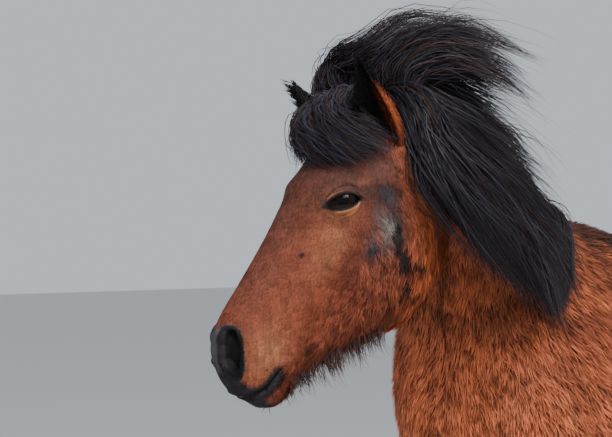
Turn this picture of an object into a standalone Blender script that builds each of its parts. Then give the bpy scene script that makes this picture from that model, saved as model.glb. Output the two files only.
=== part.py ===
"""A life-size standing model of an Icelandic horse in its winter coat, looking to its right, with the wind in its
mane, forelock and tail. The horse faces -X and its left side faces -Y. Sizes are in metres."""

import math
import random

import bmesh
import bpy
import numpy as np
from mathutils import Vector
from mathutils.bvhtree import BVHTree

# Driving sizes. Stations are written from a point on the floor straight below the withers. At the end the model
# moves sideways so that the middle of its box stands over the origin.
GAP = 0.0003
CUT_STEP = 0.00005
FACES_HEADING_DEG = 180.0
HEAD_TURN_DEG = 26.0
HEAD_PITCH_DEG = 61.0
HEAD_ORIGIN = (-0.640, 0.031, 1.614)
WIND = (0.695, -0.719, 0.0)
STRIDE = {"fore_left": 0.030, "fore_right": -0.045, "hind_left": -0.050, "hind_right": 0.040}
STRIDE_FROM = {"fore": 0.78, "hind": 0.86}
BODY_VOXEL = 0.012
BODY_SMOOTHING = 8
BODY_TRIANGLES = 2400
HEAD_TRIANGLES = 1800

# Trunk and neck, from the buttocks to the poll: the top and bottom point of each ring in side view, half its
# width, how far its widest level lies below the middle, how square it is, and how far the neck bends aside.
TRUNK = (
    # name, top x, top z, bottom x, bottom z, half width, pear, square, aside
    ("seat", 1.000, 1.165, 1.008, 1.030, 0.070, 0.00, 2.0, 0.000),
    ("dock", 0.955, 1.232, 0.975, 0.930, 0.150, 0.02, 2.1, 0.000),
    ("rump", 0.860, 1.300, 0.870, 0.840, 0.215, 0.00, 2.2, 0.000),
    ("croup", 0.700, 1.345, 0.700, 0.775, 0.252, -0.02, 2.3, 0.000),
    ("loin", 0.540, 1.345, 0.530, 0.735, 0.265, 0.04, 2.3, 0.000),
    ("back", 0.380, 1.332, 0.370, 0.700, 0.283, 0.10, 2.2, 0.000),
    ("barrel", 0.230, 1.336, 0.220, 0.690, 0.282, 0.12, 2.2, 0.000),
    ("girth", 0.100, 1.358, 0.070, 0.702, 0.252, 0.16, 2.15, 0.000),
    ("withers", -0.010, 1.380, -0.070, 0.730, 0.224, 0.20, 2.1, 0.000),
    ("shoulder", -0.100, 1.390, -0.215, 0.785, 0.212, 0.22, 2.1, 0.000),
    ("breast", -0.185, 1.410, -0.375, 0.880, 0.195, 0.18, 2.1, 0.000),
    ("neck_base", -0.265, 1.447, -0.435, 1.000, 0.162, 0.16, 2.1, -0.003),
    ("neck_low", -0.345, 1.487, -0.436, 1.120, 0.132, 0.16, 2.1, -0.008),
    ("neck_middle", -0.420, 1.525, -0.445, 1.225, 0.116, 0.16, 2.1, -0.008),
    ("neck_high", -0.490, 1.562, -0.475, 1.305, 0.104, 0.12, 2.1, 0.000),
    ("nape", -0.552, 1.592, -0.515, 1.370, 0.092, 0.08, 2.1, 0.010),
    ("poll", -0.600, 1.600, -0.545, 1.430, 0.074, 0.02, 2.0, 0.020),
)
# Legs: height, middle of the ring along the body, half its depth along the body, middle and half width across.
FORELEG = (
    # name, z, x, half depth, y, half width
    ("shoulder", 1.020, -0.237, 0.120, 0.100, 0.080),
    ("arm", 0.900, -0.192, 0.140, 0.115, 0.092),
    ("elbow", 0.790, -0.155, 0.122, 0.128, 0.088),
    ("upper_forearm", 0.700, -0.141, 0.090, 0.137, 0.070),
    ("forearm", 0.600, -0.147, 0.067, 0.140, 0.056),
    ("lower_forearm", 0.510, -0.153, 0.050, 0.140, 0.046),
    ("above_knee", 0.450, -0.155, 0.044, 0.140, 0.043),
    ("knee", 0.405, -0.160, 0.047, 0.140, 0.047),
    ("below_knee", 0.350, -0.153, 0.041, 0.140, 0.038),
    ("cannon", 0.280, -0.151, 0.035, 0.140, 0.031),
    ("lower_cannon", 0.200, -0.153, 0.034, 0.140, 0.031),
    ("fetlock", 0.150, -0.158, 0.041, 0.140, 0.038),
    ("pastern", 0.105, -0.174, 0.035, 0.140, 0.035),
    ("coronet", 0.066, -0.193, 0.046, 0.140, 0.047),
    ("hoof_wall", 0.030, -0.205, 0.055, 0.140, 0.053),
    ("ground", 0.000, -0.215, 0.062, 0.140, 0.058),
)
HINDLEG = (
    ("hip", 1.160, 0.800, 0.145, 0.100, 0.095),
    ("thigh_top", 1.050, 0.815, 0.185, 0.115, 0.112),
    ("thigh", 0.950, 0.815, 0.198, 0.125, 0.116),
    ("stifle", 0.850, 0.795, 0.175, 0.133, 0.104),
    ("gaskin_top", 0.760, 0.815, 0.130, 0.139, 0.082),
    ("gaskin", 0.680, 0.855, 0.092, 0.142, 0.063),
    ("above_hock", 0.600, 0.905, 0.067, 0.142, 0.050),
    ("hock", 0.540, 0.942, 0.063, 0.142, 0.045),
    ("below_hock", 0.470, 0.955, 0.050, 0.142, 0.041),
    ("cannon", 0.380, 0.952, 0.039, 0.142, 0.034),
    ("middle_cannon", 0.290, 0.948, 0.035, 0.142, 0.032),
    ("lower_cannon", 0.210, 0.945, 0.036, 0.142, 0.032),
    ("fetlock", 0.155, 0.940, 0.042, 0.142, 0.039),
    ("pastern", 0.108, 0.922, 0.036, 0.142, 0.035),
    ("coronet", 0.066, 0.903, 0.045, 0.142, 0.046),
    ("hoof_wall", 0.030, 0.893, 0.053, 0.142, 0.051),
    ("ground", 0.000, 0.885, 0.060, 0.142, 0.055),
)
CORONET = 0.066
# Level cuts through the legs: height, and how far they reach along the body.
LEG_CUTS = (
    ("forearm", 0.700, -0.40, 0.045),
    ("thigh", 0.700, 0.610, 1.20),
    ("knee", 0.395, -0.40, 0.10),
    ("hock", 0.530, 0.70, 1.20),
)
NECK_CUT_TOP = (-0.055, 1.42)
NECK_CUT_BOTTOM = (-0.455, 0.93)

# The head in its own frame: u runs from the poll to the lips, v is out of the face and w to the horse's left.
# Each ring has its top and bottom v, and half its width near the top, at the brow, at the cheek and at the jaw.
HEAD = (
    # name, u, top v, bottom v, crown, brow, cheek, jaw
    ("nape_end", -0.030, -0.120, -0.195, 0.020, 0.036, 0.036, 0.022),
    ("poll", 0.000, -0.066, -0.218, 0.036, 0.064, 0.064, 0.040),
    ("ears", 0.045, -0.030, -0.235, 0.047, 0.077, 0.075, 0.048),
    ("temple", 0.100, -0.012, -0.260, 0.054, 0.087, 0.084, 0.052),
    ("brow", 0.155, -0.004, -0.281, 0.060, 0.094, 0.090, 0.054),
    ("eye", 0.205, 0.000, -0.292, 0.060, 0.096, 0.091, 0.054),
    ("under_eye", 0.250, -0.001, -0.292, 0.048, 0.083, 0.088, 0.050),
    ("cheek", 0.300, -0.002, -0.275, 0.040, 0.068, 0.078, 0.045),
    ("middle_nose", 0.350, -0.001, -0.240, 0.036, 0.056, 0.065, 0.040),
    ("nose", 0.400, 0.001, -0.202, 0.033, 0.048, 0.055, 0.037),
    ("lower_nose", 0.440, 0.002, -0.172, 0.033, 0.048, 0.050, 0.034),
    ("nostril", 0.475, -0.004, -0.152, 0.034, 0.051, 0.048, 0.032),
    ("upper_lip", 0.505, -0.022, -0.147, 0.034, 0.050, 0.045, 0.033),
    ("lips", 0.527, -0.045, -0.140, 0.030, 0.043, 0.039, 0.029),
    ("lip_end", 0.540, -0.068, -0.122, 0.016, 0.025, 0.023, 0.014),
)
HEAD_LEVELS = (0.0, 0.08, 0.25, 0.55, 0.85, 1.0)
# Muscles and bones that show on each side of the head: middle u and v, reach along and across, angle, height.
RELIEF = (
    ("brow_ridge", 0.193, -0.022, 0.034, 0.013, 40, 0.0075),
    ("temple_hollow", 0.148, -0.050, 0.018, 0.016, 30, -0.0060),
    ("jaw_joint", 0.125, -0.105, 0.024, 0.020, 0, 0.0040),
    ("cheek_muscle", 0.205, -0.200, 0.070, 0.058, 20, 0.0085),
    ("cheek_edge", 0.275, -0.150, 0.014, 0.060, 20, -0.0030),
    ("face_crest", 0.300, -0.098, 0.062, 0.009, -8, 0.0050),
    ("crest_hollow", 0.370, -0.060, 0.050, 0.016, -6, -0.0035),
    ("under_crest", 0.365, -0.135, 0.045, 0.022, -20, -0.0045),
    ("nostril_flare", 0.482, -0.034, 0.028, 0.022, -50, 0.0060),
    ("lip_swell", 0.505, -0.085, 0.020, 0.018, 0, 0.0040),
    ("chin", 0.512, -0.136, 0.016, 0.012, 0, 0.0040),
)
EYE_MIDDLE = (0.2080, -0.0605)
EYE_SLANT = (0.65, 0.76)
EYE_FACES = (0.16, 0.30, 0.94)
EYE_OPENING = (0.0262, 0.0120, 0.0098)
EYEBALL = (0.0280, 0.0240, 0.0230)
EYE_DEPTH = 0.0215
LID = 0.0030
NOSTRIL = ((0.464, -0.016), (0.480, -0.024), (0.496, -0.034), (0.506, -0.044))
NOSTRIL_WIDTH = (0.0050, 0.0105, 0.0095, 0.0045)
NOSTRIL_DEPTH = 0.012
MOUTH = ((0.545, -0.080), (0.530, -0.092), (0.512, -0.104), (0.490, -0.111), (0.465, -0.116))

# Ears: base, tip, and the way the cup opens, in the head's frame; the mirror image serves the far side.
EARS = {
    "left": ((0.085, -0.085, 0.070), (0.006, 0.026, 0.098), (0.35, 0.55, 0.76)),
    "right": ((0.085, -0.070, -0.066), (0.040, 0.055, -0.100), (0.45, 0.60, -0.66)),
}
EAR_WIDTH = (0.024, 0.033, 0.035, 0.031, 0.022, 0.010, 0.002)
EAR_CUP = (0.10, 0.45, 0.62, 0.60, 0.52, 0.40, 0.20)


# How the mane lies at four places on the crest, from the poll to the withers: at each place three strands, from
# the one blown straight out to the one that falls down the neck, and on each three points beyond the root as
# distances with the wind, upwards and towards the near side.
MANE_FLOW = (
    (
        ((0.041, 0.062, 0.00), (0.122, 0.070, 0.01), (0.205, 0.030, 0.02)),
        ((0.057, -0.030, 0.03), (0.122, -0.115, 0.05), (0.212, -0.205, 0.05)),
        ((0.016, -0.078, 0.06), (0.056, -0.165, 0.09), (0.171, -0.323, 0.08)),
    ),
    (
        ((0.055, 0.012, 0.00), (0.115, -0.010, 0.01), (0.170, -0.055, 0.02)),
        ((0.052, -0.055, 0.04), (0.112, -0.129, 0.06), (0.180, -0.215, 0.06)),
        ((0.034, -0.112, 0.09), (0.077, -0.206, 0.12), (0.138, -0.327, 0.11)),
    ),
    (
        ((0.045, -0.015, 0.02), (0.084, -0.072, 0.05), (0.118, -0.145, 0.07)),
        ((0.040, -0.060, 0.07), (0.076, -0.130, 0.12), (0.110, -0.205, 0.13)),
        ((0.030, -0.095, 0.12), (0.056, -0.172, 0.18), (0.080, -0.245, 0.20)),
    ),
    (
        ((0.010, -0.012, 0.03), (0.018, -0.040, 0.08), (0.026, -0.078, 0.12)),
        ((0.006, -0.032, 0.06), (0.012, -0.074, 0.13), (0.022, -0.125, 0.17)),
        ((0.002, -0.045, 0.09), (0.004, -0.095, 0.17), (0.010, -0.155, 0.21)),
    ),
)
MANE_END = 0.78
# The hair between the ears that the wind lifts and lays back over the poll, leftmost strand first, the same way.
TOP_FLOW = (
    ((-0.048, 0.040, 0.00), (-0.044, 0.085, 0.00), (0.006, 0.128, 0.01), (0.085, 0.158, 0.02)),
    ((-0.038, 0.060, 0.00), (-0.006, 0.122, 0.00), (0.075, 0.158, 0.01), (0.195, 0.142, 0.02)),
    ((-0.018, 0.074, 0.00), (0.034, 0.128, 0.00), (0.125, 0.140, 0.01), (0.238, 0.082, 0.02)),
    ((0.012, 0.060, 0.00), (0.070, 0.090, 0.01), (0.140, 0.085, 0.02), (0.220, 0.035, 0.03)),
    ((0.030, 0.030, 0.00), (0.085, 0.036, 0.01), (0.145, 0.012, 0.02), (0.205, -0.035, 0.03)),
)
TOP_ROOTS = ((0.048, -0.028, -0.055), (0.034, -0.044, -0.030), (0.012, -0.070, 0.004), (-0.008, -0.085, 0.032),
             (-0.018, -0.094, 0.040))
# The forelock, in the head's frame: root, then four points forward over the brow and back across it with the
# wind, far side first.
FORELOCK_FLOW = (
    ((0.045, -0.025, -0.045), (0.080, 0.026, -0.078), (0.120, 0.026, -0.080), (0.150, 0.014, -0.066),
     (0.172, 0.004, -0.048)),
    ((0.040, -0.030, -0.030), (0.070, 0.030, -0.052), (0.110, 0.034, -0.036), (0.144, 0.014, 0.018),
     (0.152, -0.008, 0.074)),
    ((0.035, -0.035, -0.005), (0.054, 0.030, -0.026), (0.092, 0.038, 0.002), (0.128, 0.008, 0.062),
     (0.126, -0.046, 0.100)),
    ((0.040, -0.035, 0.020), (0.062, 0.026, 0.008), (0.086, 0.022, 0.044), (0.104, -0.010, 0.084),
     (0.094, -0.066, 0.100)),
)
LOCKS = {"mane": 42, "top": 15, "forelock": 13, "beard": 15, "tail": 13, "feather": 4}
LOCK_WIDTH = {"mane": 0.040, "top": 0.027, "forelock": 0.021, "beard": 0.011, "tail": 0.040, "feather": 0.024}
LOCK_THICK = {"mane": 0.012, "top": 0.009, "forelock": 0.007, "beard": 0.006, "tail": 0.014, "feather": 0.010}
# Of each kind of lock some are long, some middling and some short, as shares of the sizes above.
LOCK_SIZES = {"long": 1.12, "middle": 0.98, "short": 0.80}
LOCK_SECTION = ((1.0, -0.5), (0.0, 1.2), (-1.0, -0.5))
# Points of a feather lock before its tip, as shares of its length outwards and down.
FEATHER_FLOW = ((0, 0), (0.16, 0.30), (0.28, 0.65))
FEATHER_TOP = 0.170
FEATHER_LENGTH = (0.055, 0.075)
FEATHER_FAN_DEG = 62.0
# The beard, from the throat to the chin: where along the head it starts, how far it reaches, how deep its roots
# lie, and its length under the jaw and under the chin.
BEARD_START = 0.27
BEARD_REACH = 0.235
BEARD_ROOT = 0.012
BEARD_CHIN = 0.46
BEARD_LENGTH = {"jaw": 0.048, "chin": 0.032}
# The dock of the tail: its middle line, and half its width and depth along it.
DOCK = ((0.945, 0, 1.215), (1.000, -0.003, 1.185), (1.050, -0.010, 1.080), (1.075, -0.018, 0.930),
        (1.085, -0.024, 0.800))
DOCK_PLACES = (0.0, 0.2, 0.6, 1.0)
DOCK_WIDTH = (0.026, 0.034, 0.048, 0.020)
DOCK_DEPTH = (0.024, 0.030, 0.034, 0.014)
# Tail hair: where on the dock it is rooted, its length, how far it is blown back and aside, and its bulge.
TAIL_ROOTS = (0.05, 0.55)
TAIL_LENGTH = (0.62, 0.78)
TAIL_BLOWN = (0.10, -0.05)
TAIL_BULGE = 0.055
SEEDS = {"head": 21, "neck": 11, "tail": 8, "feather": 7}

# What each kind of surface looks like: its colour in linear light and its roughness.
FINISHES = {
    "coat": ((0.30, 0.10, 0.045), 0.9),
    "head_coat": ((0.26, 0.09, 0.04), 0.85),
    "neck_coat": ((0.12, 0.05, 0.03), 0.8),
    "ear_coat": ((0.10, 0.04, 0.02), 0.85),
    "dark_coat": ((0.03, 0.02, 0.018), 0.85),
    "tail_hair": ((0.02, 0.017, 0.018), 0.6),
    "eye": ((0.02, 0.012, 0.01), 0.1),
    "hoof": ((0.05, 0.04, 0.035), 0.6),
}
NODE_FINISHES = {
    "torso": "coat",
    "neck": "neck_coat",
    "head": "head_coat",
    "ear": "ear_coat",
    "eye": "eye",
    "foreleg_upper": "coat",
    "hindleg_upper": "coat",
    "foreleg_lower": "dark_coat",
    "hindleg_lower": "dark_coat",
    "hoof": "hoof",
    "tail": "tail_hair",
}
SHARP_EDGE_DEG = 50.0


def smooth(keys, values, at):
    """Values read from a smooth curve through the points (keys, values)."""
    keys = np.asarray(keys, float)
    values = np.asarray(values, float)
    at = np.asarray(at, float)
    slopes = np.gradient(values, keys, axis=0)
    i = np.clip(np.searchsorted(keys, at, side="right") - 1, 0, len(keys) - 2)
    step = keys[i + 1] - keys[i]
    t = (at - keys[i]) / step
    shape = (-1,) + (1,) * (values.ndim - 1)
    t, step = t.reshape(shape), step.reshape(shape)
    start, end = values[i], values[i + 1]
    leave, reach = slopes[i] * step, slopes[i + 1] * step
    a = 2 * t**3 - 3 * t**2 + 1
    b = t**3 - 2 * t**2 + t
    c = -2 * t**3 + 3 * t**2
    d = t**3 - t**2
    return a * start + b * leave + c * end + d * reach


def add_object(name, data):
    obj = bpy.data.objects.new(name, data)
    bpy.context.scene.collection.objects.link(obj)
    return obj


def face_out(data):
    """Splits all the faces of a closed mesh into triangles, which are flat, and turns them outwards."""
    bm = bmesh.new()
    bm.from_mesh(data)
    bmesh.ops.triangulate(bm, faces=bm.faces)
    bmesh.ops.recalc_face_normals(bm, faces=bm.faces)
    if bm.calc_volume(signed=True) < 0:
        bmesh.ops.reverse_faces(bm, faces=bm.faces)
    bm.to_mesh(data)
    bm.free()


def mesh_object(name, points, faces):
    """A new object in the scene from points and faces, with its faces turned outwards."""
    data = bpy.data.meshes.new(name)
    data.from_pydata([tuple(p) for p in points], [], faces)
    face_out(data)
    return add_object(name, data)


def loft(name, rings):
    """A closed solid through rings of points, with a point at the middle of each end."""
    count, sides = len(rings), len(rings[0])
    points = [p for ring in rings for p in ring]
    points += [np.mean(rings[0], axis=0), np.mean(rings[-1], axis=0)]
    faces = []
    for i in range(count - 1):
        for j in range(sides):
            k = (j + 1) % sides
            faces.append((i * sides + j, i * sides + k, (i + 1) * sides + k, (i + 1) * sides + j))
    for j in range(sides):
        k = (j + 1) % sides
        faces.append((count * sides, k, j))
        faces.append((count * sides + 1, (count - 1) * sides + j, (count - 1) * sides + k))
    return mesh_object(name, points, faces)


def power(value, square):
    """A circle's cosine or sine bent towards a square for an exponent over 2."""
    return np.sign(value) * np.abs(value) ** (2 / square)


def trunk_rings(count, sides):
    """Rings of the trunk and neck, each in the plane of its top and bottom points."""
    table = np.array([row[1:] for row in TRUNK], float)
    rows = smooth(np.arange(len(table)), table, np.linspace(0, len(table) - 1, count))
    angles = np.linspace(0, 2 * math.pi, sides, endpoint=False)
    rings = []
    for top_x, top_z, bottom_x, bottom_z, width, pear, square, aside in rows:
        top = np.array((top_x, 0, top_z))
        bottom = np.array((bottom_x, 0, bottom_z))
        rise = power(np.cos(angles), square)
        out = width * power(np.sin(angles), square) * (1 - pear * rise)
        ring = (top + bottom) / 2 + rise[:, None] * (top - bottom) / 2
        ring[:, 1] += out + aside
        rings.append(ring)
    return rings


def leg_rings(table, side, stride, stride_from, count, sides):
    """Level rings of one leg. A stride moves the leg along the body, more the lower it is."""
    rows = np.array([row[1:] for row in table], float)
    rows = smooth(np.arange(len(rows)), rows, np.linspace(0, len(rows) - 1, count))
    angles = np.linspace(0, 2 * math.pi, sides, endpoint=False)
    rings = []
    for z, x, depth, y, width in rows:
        reach = stride * max(0.0, stride_from - z) / stride_from
        ring = np.empty((sides, 3))
        ring[:, 0] = x + reach + depth * power(np.cos(angles), 2.2)
        ring[:, 1] = side * (y + width * power(np.sin(angles), 2.2))
        ring[:, 2] = z
        rings.append(ring)
    return rings


def head_frame():
    """The head's origin and its u, v and w directions."""
    heading = math.radians(FACES_HEADING_DEG - HEAD_TURN_DEG)
    pitch = math.radians(HEAD_PITCH_DEG)
    ahead = np.array((math.cos(heading), math.sin(heading), 0.0))
    up = np.array((0.0, 0.0, 1.0))
    along = math.cos(pitch) * ahead - math.sin(pitch) * up
    out = math.sin(pitch) * ahead + math.cos(pitch) * up
    left = np.cross(up, ahead)
    return np.array(HEAD_ORIGIN), along, out, left


def from_head(points):
    """Points of the head's frame moved to the model's frame."""
    origin, along, out, left = head_frame()
    points = np.asarray(points, float)
    return origin + points @ np.array((along, out, left))


def head_rings(count, sides):
    """Rings of the head across its length, in the head's own u, v and w."""
    table = np.array([row[1:] for row in HEAD], float)
    spread = np.linspace(0, 1, count)
    at = (len(table) - 1) * (0.72 * spread + 0.28 * (1 - (1 - spread) ** 2))
    rows = smooth(np.arange(len(table)), table, at)
    share = np.linspace(0, 1, sides // 2 + 1)
    rings = []
    for u, top, bottom, crown, brow, cheek, jaw in rows:
        half = np.array((0.0, crown, brow, cheek, jaw, 0.0))
        levels = top + (bottom - top) * np.array(HEAD_LEVELS)
        outline = np.stack([levels, half], axis=1)
        run = np.concatenate([[0], np.cumsum(np.linalg.norm(np.diff(outline, axis=0), axis=1))])
        mirrored = np.concatenate([outline[1:2] * (1, -1), outline, outline[-2:-1] * (1, -1)])
        keys = np.concatenate([[-run[1]], run, [2 * run[-1] - run[-2]]])
        side = smooth(keys, mirrored, share * run[-1])
        side[0, 1] = side[-1, 1] = 0.0
        ring = np.concatenate([side, side[-2:0:-1] * (1, -1)])
        rings.append(np.stack([np.full(len(ring), u), ring[:, 0], ring[:, 1]], axis=1))
    return rings


def path_distance(u, v, path):
    """How far each point is from a line through the path's points, and how far along it the nearest point lies."""
    path = np.asarray(path, float)
    nearest = np.full(u.shape, 9.0)
    along = np.zeros(u.shape)
    for i, (start, end) in enumerate(zip(path[:-1], path[1:])):
        step = end - start
        t = ((u - start[0]) * step[0] + (v - start[1]) * step[1]) / (step @ step)
        t = np.clip(t, 0, 1)
        away = np.hypot(u - start[0] - t * step[0], v - start[1] - t * step[1])
        along = np.where(away < nearest, i + t, along)
        nearest = np.minimum(away, nearest)
    return nearest, along


def eye_axes():
    """The eye's own directions on the left side: along the slit, up across it, and out of the head."""
    out = np.array(EYE_FACES) / np.linalg.norm(EYE_FACES)
    slit = np.array((EYE_SLANT[0], EYE_SLANT[1], 0.0))
    slit -= out * (slit @ out)
    slit /= np.linalg.norm(slit)
    above = np.cross(out, slit)
    if above[0] > 0:
        above = -above
    return slit, above, out


def sculpt(points, normals, eye_level):
    """The head's plain surface with its relief, lids, nostrils and mouth, in the head's frame."""
    u, v, w = points.T
    side = np.clip(np.abs(w) / 0.02, 0, 1)
    rise = np.zeros(len(points))
    for _, at_u, at_v, along, across, angle, height in RELIEF:
        cos, sin = math.cos(math.radians(angle)), math.sin(math.radians(angle))
        a = (u - at_u) * cos + (v - at_v) * sin
        b = -(u - at_u) * sin + (v - at_v) * cos
        rise += side * height * np.exp(-((a / along) ** 2) - (b / across) ** 2)
    away, along = path_distance(u, v, NOSTRIL)
    width = np.interp(along, np.arange(len(NOSTRIL)), NOSTRIL_WIDTH)
    inside = 1 / (1 + np.exp((away / width - 1) * 6))
    rise -= side * NOSTRIL_DEPTH * inside
    rise += side * 0.0030 * np.exp(-((away / width - 1.7) / 0.55) ** 2)
    away, along = path_distance(u, v, MOUTH)
    groove = np.exp(-((away / 0.0036) ** 2)) * np.clip((4.0 - along) / 0.5, 0, 1)
    rise -= 0.0050 * groove
    rise += 0.0018 * np.exp(-(((away - 0.0075) / 0.0040) ** 2))
    shaped = points + rise[:, None] * normals
    mirror = np.where(w < 0, -1.0, 1.0)
    local = shaped * np.stack([np.ones_like(w), np.ones_like(w), mirror], axis=1)
    local = (local - np.array((*EYE_MIDDLE, eye_level))) @ np.array(eye_axes()).T
    a, b, height = local.T
    length, above, below = EYE_OPENING
    lens = np.clip(1 - (a / length) ** 2, 0, 1) ** 0.75
    edge = np.where(b > 0, above, below) * lens + 1e-5
    ball = np.clip(1 - (a / EYEBALL[0]) ** 2 - (b / EYEBALL[1]) ** 2, 0, 1)
    front = EYEBALL[2] * np.sqrt(ball) - EYE_DEPTH
    outside = np.clip((np.abs(b) / edge - 1) * np.minimum(edge, 0.01) / 0.0015, -1, 1)
    outside = np.where(np.abs(a) > length, 1.0, outside)
    lid = front + LID * np.where(b > 0, 1.3, 1.0)
    deep = front - 0.004
    target = deep + (lid - deep) * (0.5 + 0.5 * outside)
    near = np.sqrt((a / (EYEBALL[0] * 1.1)) ** 2 + (b / (EYEBALL[1] * 1.1)) ** 2)
    blend = np.clip((1.0 - near) / 0.35, 0, 1)
    blend = blend * blend * (3 - 2 * blend) * (height > -0.03)
    fold = np.exp(-(((b - 0.0175 * (0.35 + 0.65 * lens)) / 0.0022) ** 2)) * (np.abs(a) < 1.25 * length) * (b > 0)
    under = np.exp(-(((b + 0.0175 * (0.35 + 0.65 * lens)) / 0.0025) ** 2)) * (np.abs(a) < 1.2 * length) * (b < 0)
    raised = height + (target - height) * blend - 0.0022 * fold - 0.0014 * under
    local = np.stack([a, b, np.where(height > -0.03, raised, height)], axis=1) @ np.array(eye_axes())
    local += np.array((*EYE_MIDDLE, eye_level))
    return local * np.stack([np.ones_like(w), np.ones_like(w), mirror], axis=1)


def head_object(name, count, sides):
    """The head with its relief, still in the head's own frame."""
    head = loft(name, head_rings(count, sides))
    data = head.data
    points = np.empty(len(data.vertices) * 3)
    data.vertices.foreach_get("co", points)
    points = points.reshape(-1, 3)
    normals = np.empty(len(data.vertices) * 3)
    data.vertices.foreach_get("normal", normals)
    normals = normals.reshape(-1, 3)
    level = eye_level_of(points)
    shaped = sculpt(points, normals, level)
    data.vertices.foreach_set("co", from_head(shaped).reshape(-1))
    face_out(data)
    return head, level


def eye_level_of(points):
    """How far out the plain head lies where the eye is."""
    away = np.hypot(points[:, 0] - EYE_MIDDLE[0], points[:, 1] - EYE_MIDDLE[1])
    near = (away < 0.006) & (points[:, 2] > 0)
    return points[near, 2].mean() + 0.001


def eye_object(name, side, level, rings, sides, more=0.0):
    """One eyeball, a little flattened ball, in the model's frame."""
    slit, above, out = (axis * np.array((1, 1, side)) for axis in eye_axes())
    middle = np.array((EYE_MIDDLE[0], EYE_MIDDLE[1], side * level)) - EYE_DEPTH * out
    stack = []
    for i in range(1, rings):
        polar = math.pi * i / rings
        turns = np.linspace(0, 2 * math.pi, sides, endpoint=False)[:, None]
        ring = middle + (EYEBALL[2] + more) * math.cos(polar) * out
        ring = ring + (EYEBALL[0] + more) * math.sin(polar) * np.cos(turns) * slit
        ring = ring + (EYEBALL[1] + more) * math.sin(polar) * np.sin(turns) * above
        stack.append(ring)
    return loft(name, [from_head(ring) for ring in stack])


def ear_object(name, base, tip, opening, sides):
    """An upright ear with a cup in its front, closed below and drawn out to a point."""
    base, tip = from_head([base])[0], from_head([tip])[0]
    axis = tip - base
    length = np.linalg.norm(axis)
    axis /= length
    opening = from_head([opening])[0] - from_head([(0, 0, 0)])[0]
    opening -= axis * (opening @ axis)
    opening /= np.linalg.norm(opening)
    across = np.cross(axis, opening)
    count = 13
    at = np.linspace(0, 1, count)
    widths = smooth(np.linspace(0, 1, len(EAR_WIDTH)), EAR_WIDTH, at)
    cups = np.interp(at, np.linspace(0, 1, len(EAR_CUP)), EAR_CUP)
    rings = []
    for t, width, cup in zip(at, widths, cups):
        middle = base + axis * (length * t) - axis * 0.02 * (1 - t)
        middle = middle + opening * 0.010 * math.sin(math.pi * t) - opening * 0.006 * t
        ring = []
        half = sides // 2
        for j in range(half):
            turn = math.pi * (1.12 - 1.24 * j / (half - 1)) + math.pi
            ring.append(middle + across * width * math.cos(turn) + opening * 0.95 * width * math.sin(turn))
        wall = max(0.0026, 0.16 * width)
        for j in range(half):
            turn = math.pi * (-0.12 + 1.24 * j / (half - 1)) + math.pi
            rim = ring[half - 1 - j]
            inward = middle - rim
            reach = np.linalg.norm(inward)
            deep = wall + (1 - cup) * max(0.0, reach - wall) * math.sin(math.pi * (j + 0.5) / half)
            ring.append(rim + inward / reach * min(deep, reach * 0.92))
        rings.append(np.array(ring))
    return loft(name, rings)


def apply_modifiers(obj):
    """Replaces the object's mesh by what its modifiers make of it."""
    bpy.context.view_layer.update()
    graph = bpy.context.evaluated_depsgraph_get()
    made = bpy.data.meshes.new_from_object(obj.evaluated_get(graph))
    obj.modifiers.clear()
    obj.data = made
    return obj


def joined(objects, name):
    """One object that holds the meshes of several, which go."""
    bm = bmesh.new()
    for obj in objects:
        bm.from_mesh(obj.data)
        bpy.data.objects.remove(obj)
    data = bpy.data.meshes.new(name)
    bm.to_mesh(data)
    bm.free()
    return add_object(name, data)


def thinned(obj, triangles):
    count = sum(len(p.vertices) - 2 for p in obj.data.polygons)
    thin = obj.modifiers.new("thin", "DECIMATE")
    thin.ratio = min(1.0, triangles / count)
    return apply_modifiers(obj)


def boolean(obj, other, operation, solver="EXACT", keep=False):
    """Joins or cuts the object with another object, or with each object of a collection in one step."""
    change = obj.modifiers.new(operation.lower(), "BOOLEAN")
    change.operation = operation
    change.solver = solver
    if isinstance(other, bpy.types.Collection):
        change.operand_type = "COLLECTION"
        change.collection = other
    else:
        change.object = other
    apply_modifiers(obj)
    if not keep:
        members = list(other.objects) if isinstance(other, bpy.types.Collection) else [other]
        for member in members:
            bpy.data.objects.remove(member)
    return obj


def box(name, low, high):
    corners = [(x, y, z) for x in (low[0], high[0]) for y in (low[1], high[1]) for z in (low[2], high[2])]
    faces = [(0, 1, 3, 2), (4, 6, 7, 5), (0, 4, 5, 1), (2, 3, 7, 6), (0, 2, 6, 4), (1, 5, 7, 3)]
    return mesh_object(name, corners, faces)


def neck_blade():
    """A sheet as thin as the gap, on a slant from in front of the withers to the breast."""
    top = np.array((NECK_CUT_TOP[0], 0, NECK_CUT_TOP[1]))
    bottom = np.array((NECK_CUT_BOTTOM[0], 0, NECK_CUT_BOTTOM[1]))
    down = (bottom - top) / np.linalg.norm(bottom - top)
    normal = np.array((-down[2], 0, down[0]))
    corners = []
    for shift in (-GAP / 2, GAP / 2):
        for y in (-0.4, 0.4):
            for reach in (-0.15, np.linalg.norm(bottom - top) + 0.15):
                corners.append(top + down * reach + normal * shift + np.array((0, y, 0)))
    faces = [(0, 1, 3, 2), (4, 6, 7, 5), (0, 4, 5, 1), (2, 3, 7, 6), (0, 2, 6, 4), (1, 5, 7, 3)]
    return mesh_object("neck_blade", corners, faces)


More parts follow.
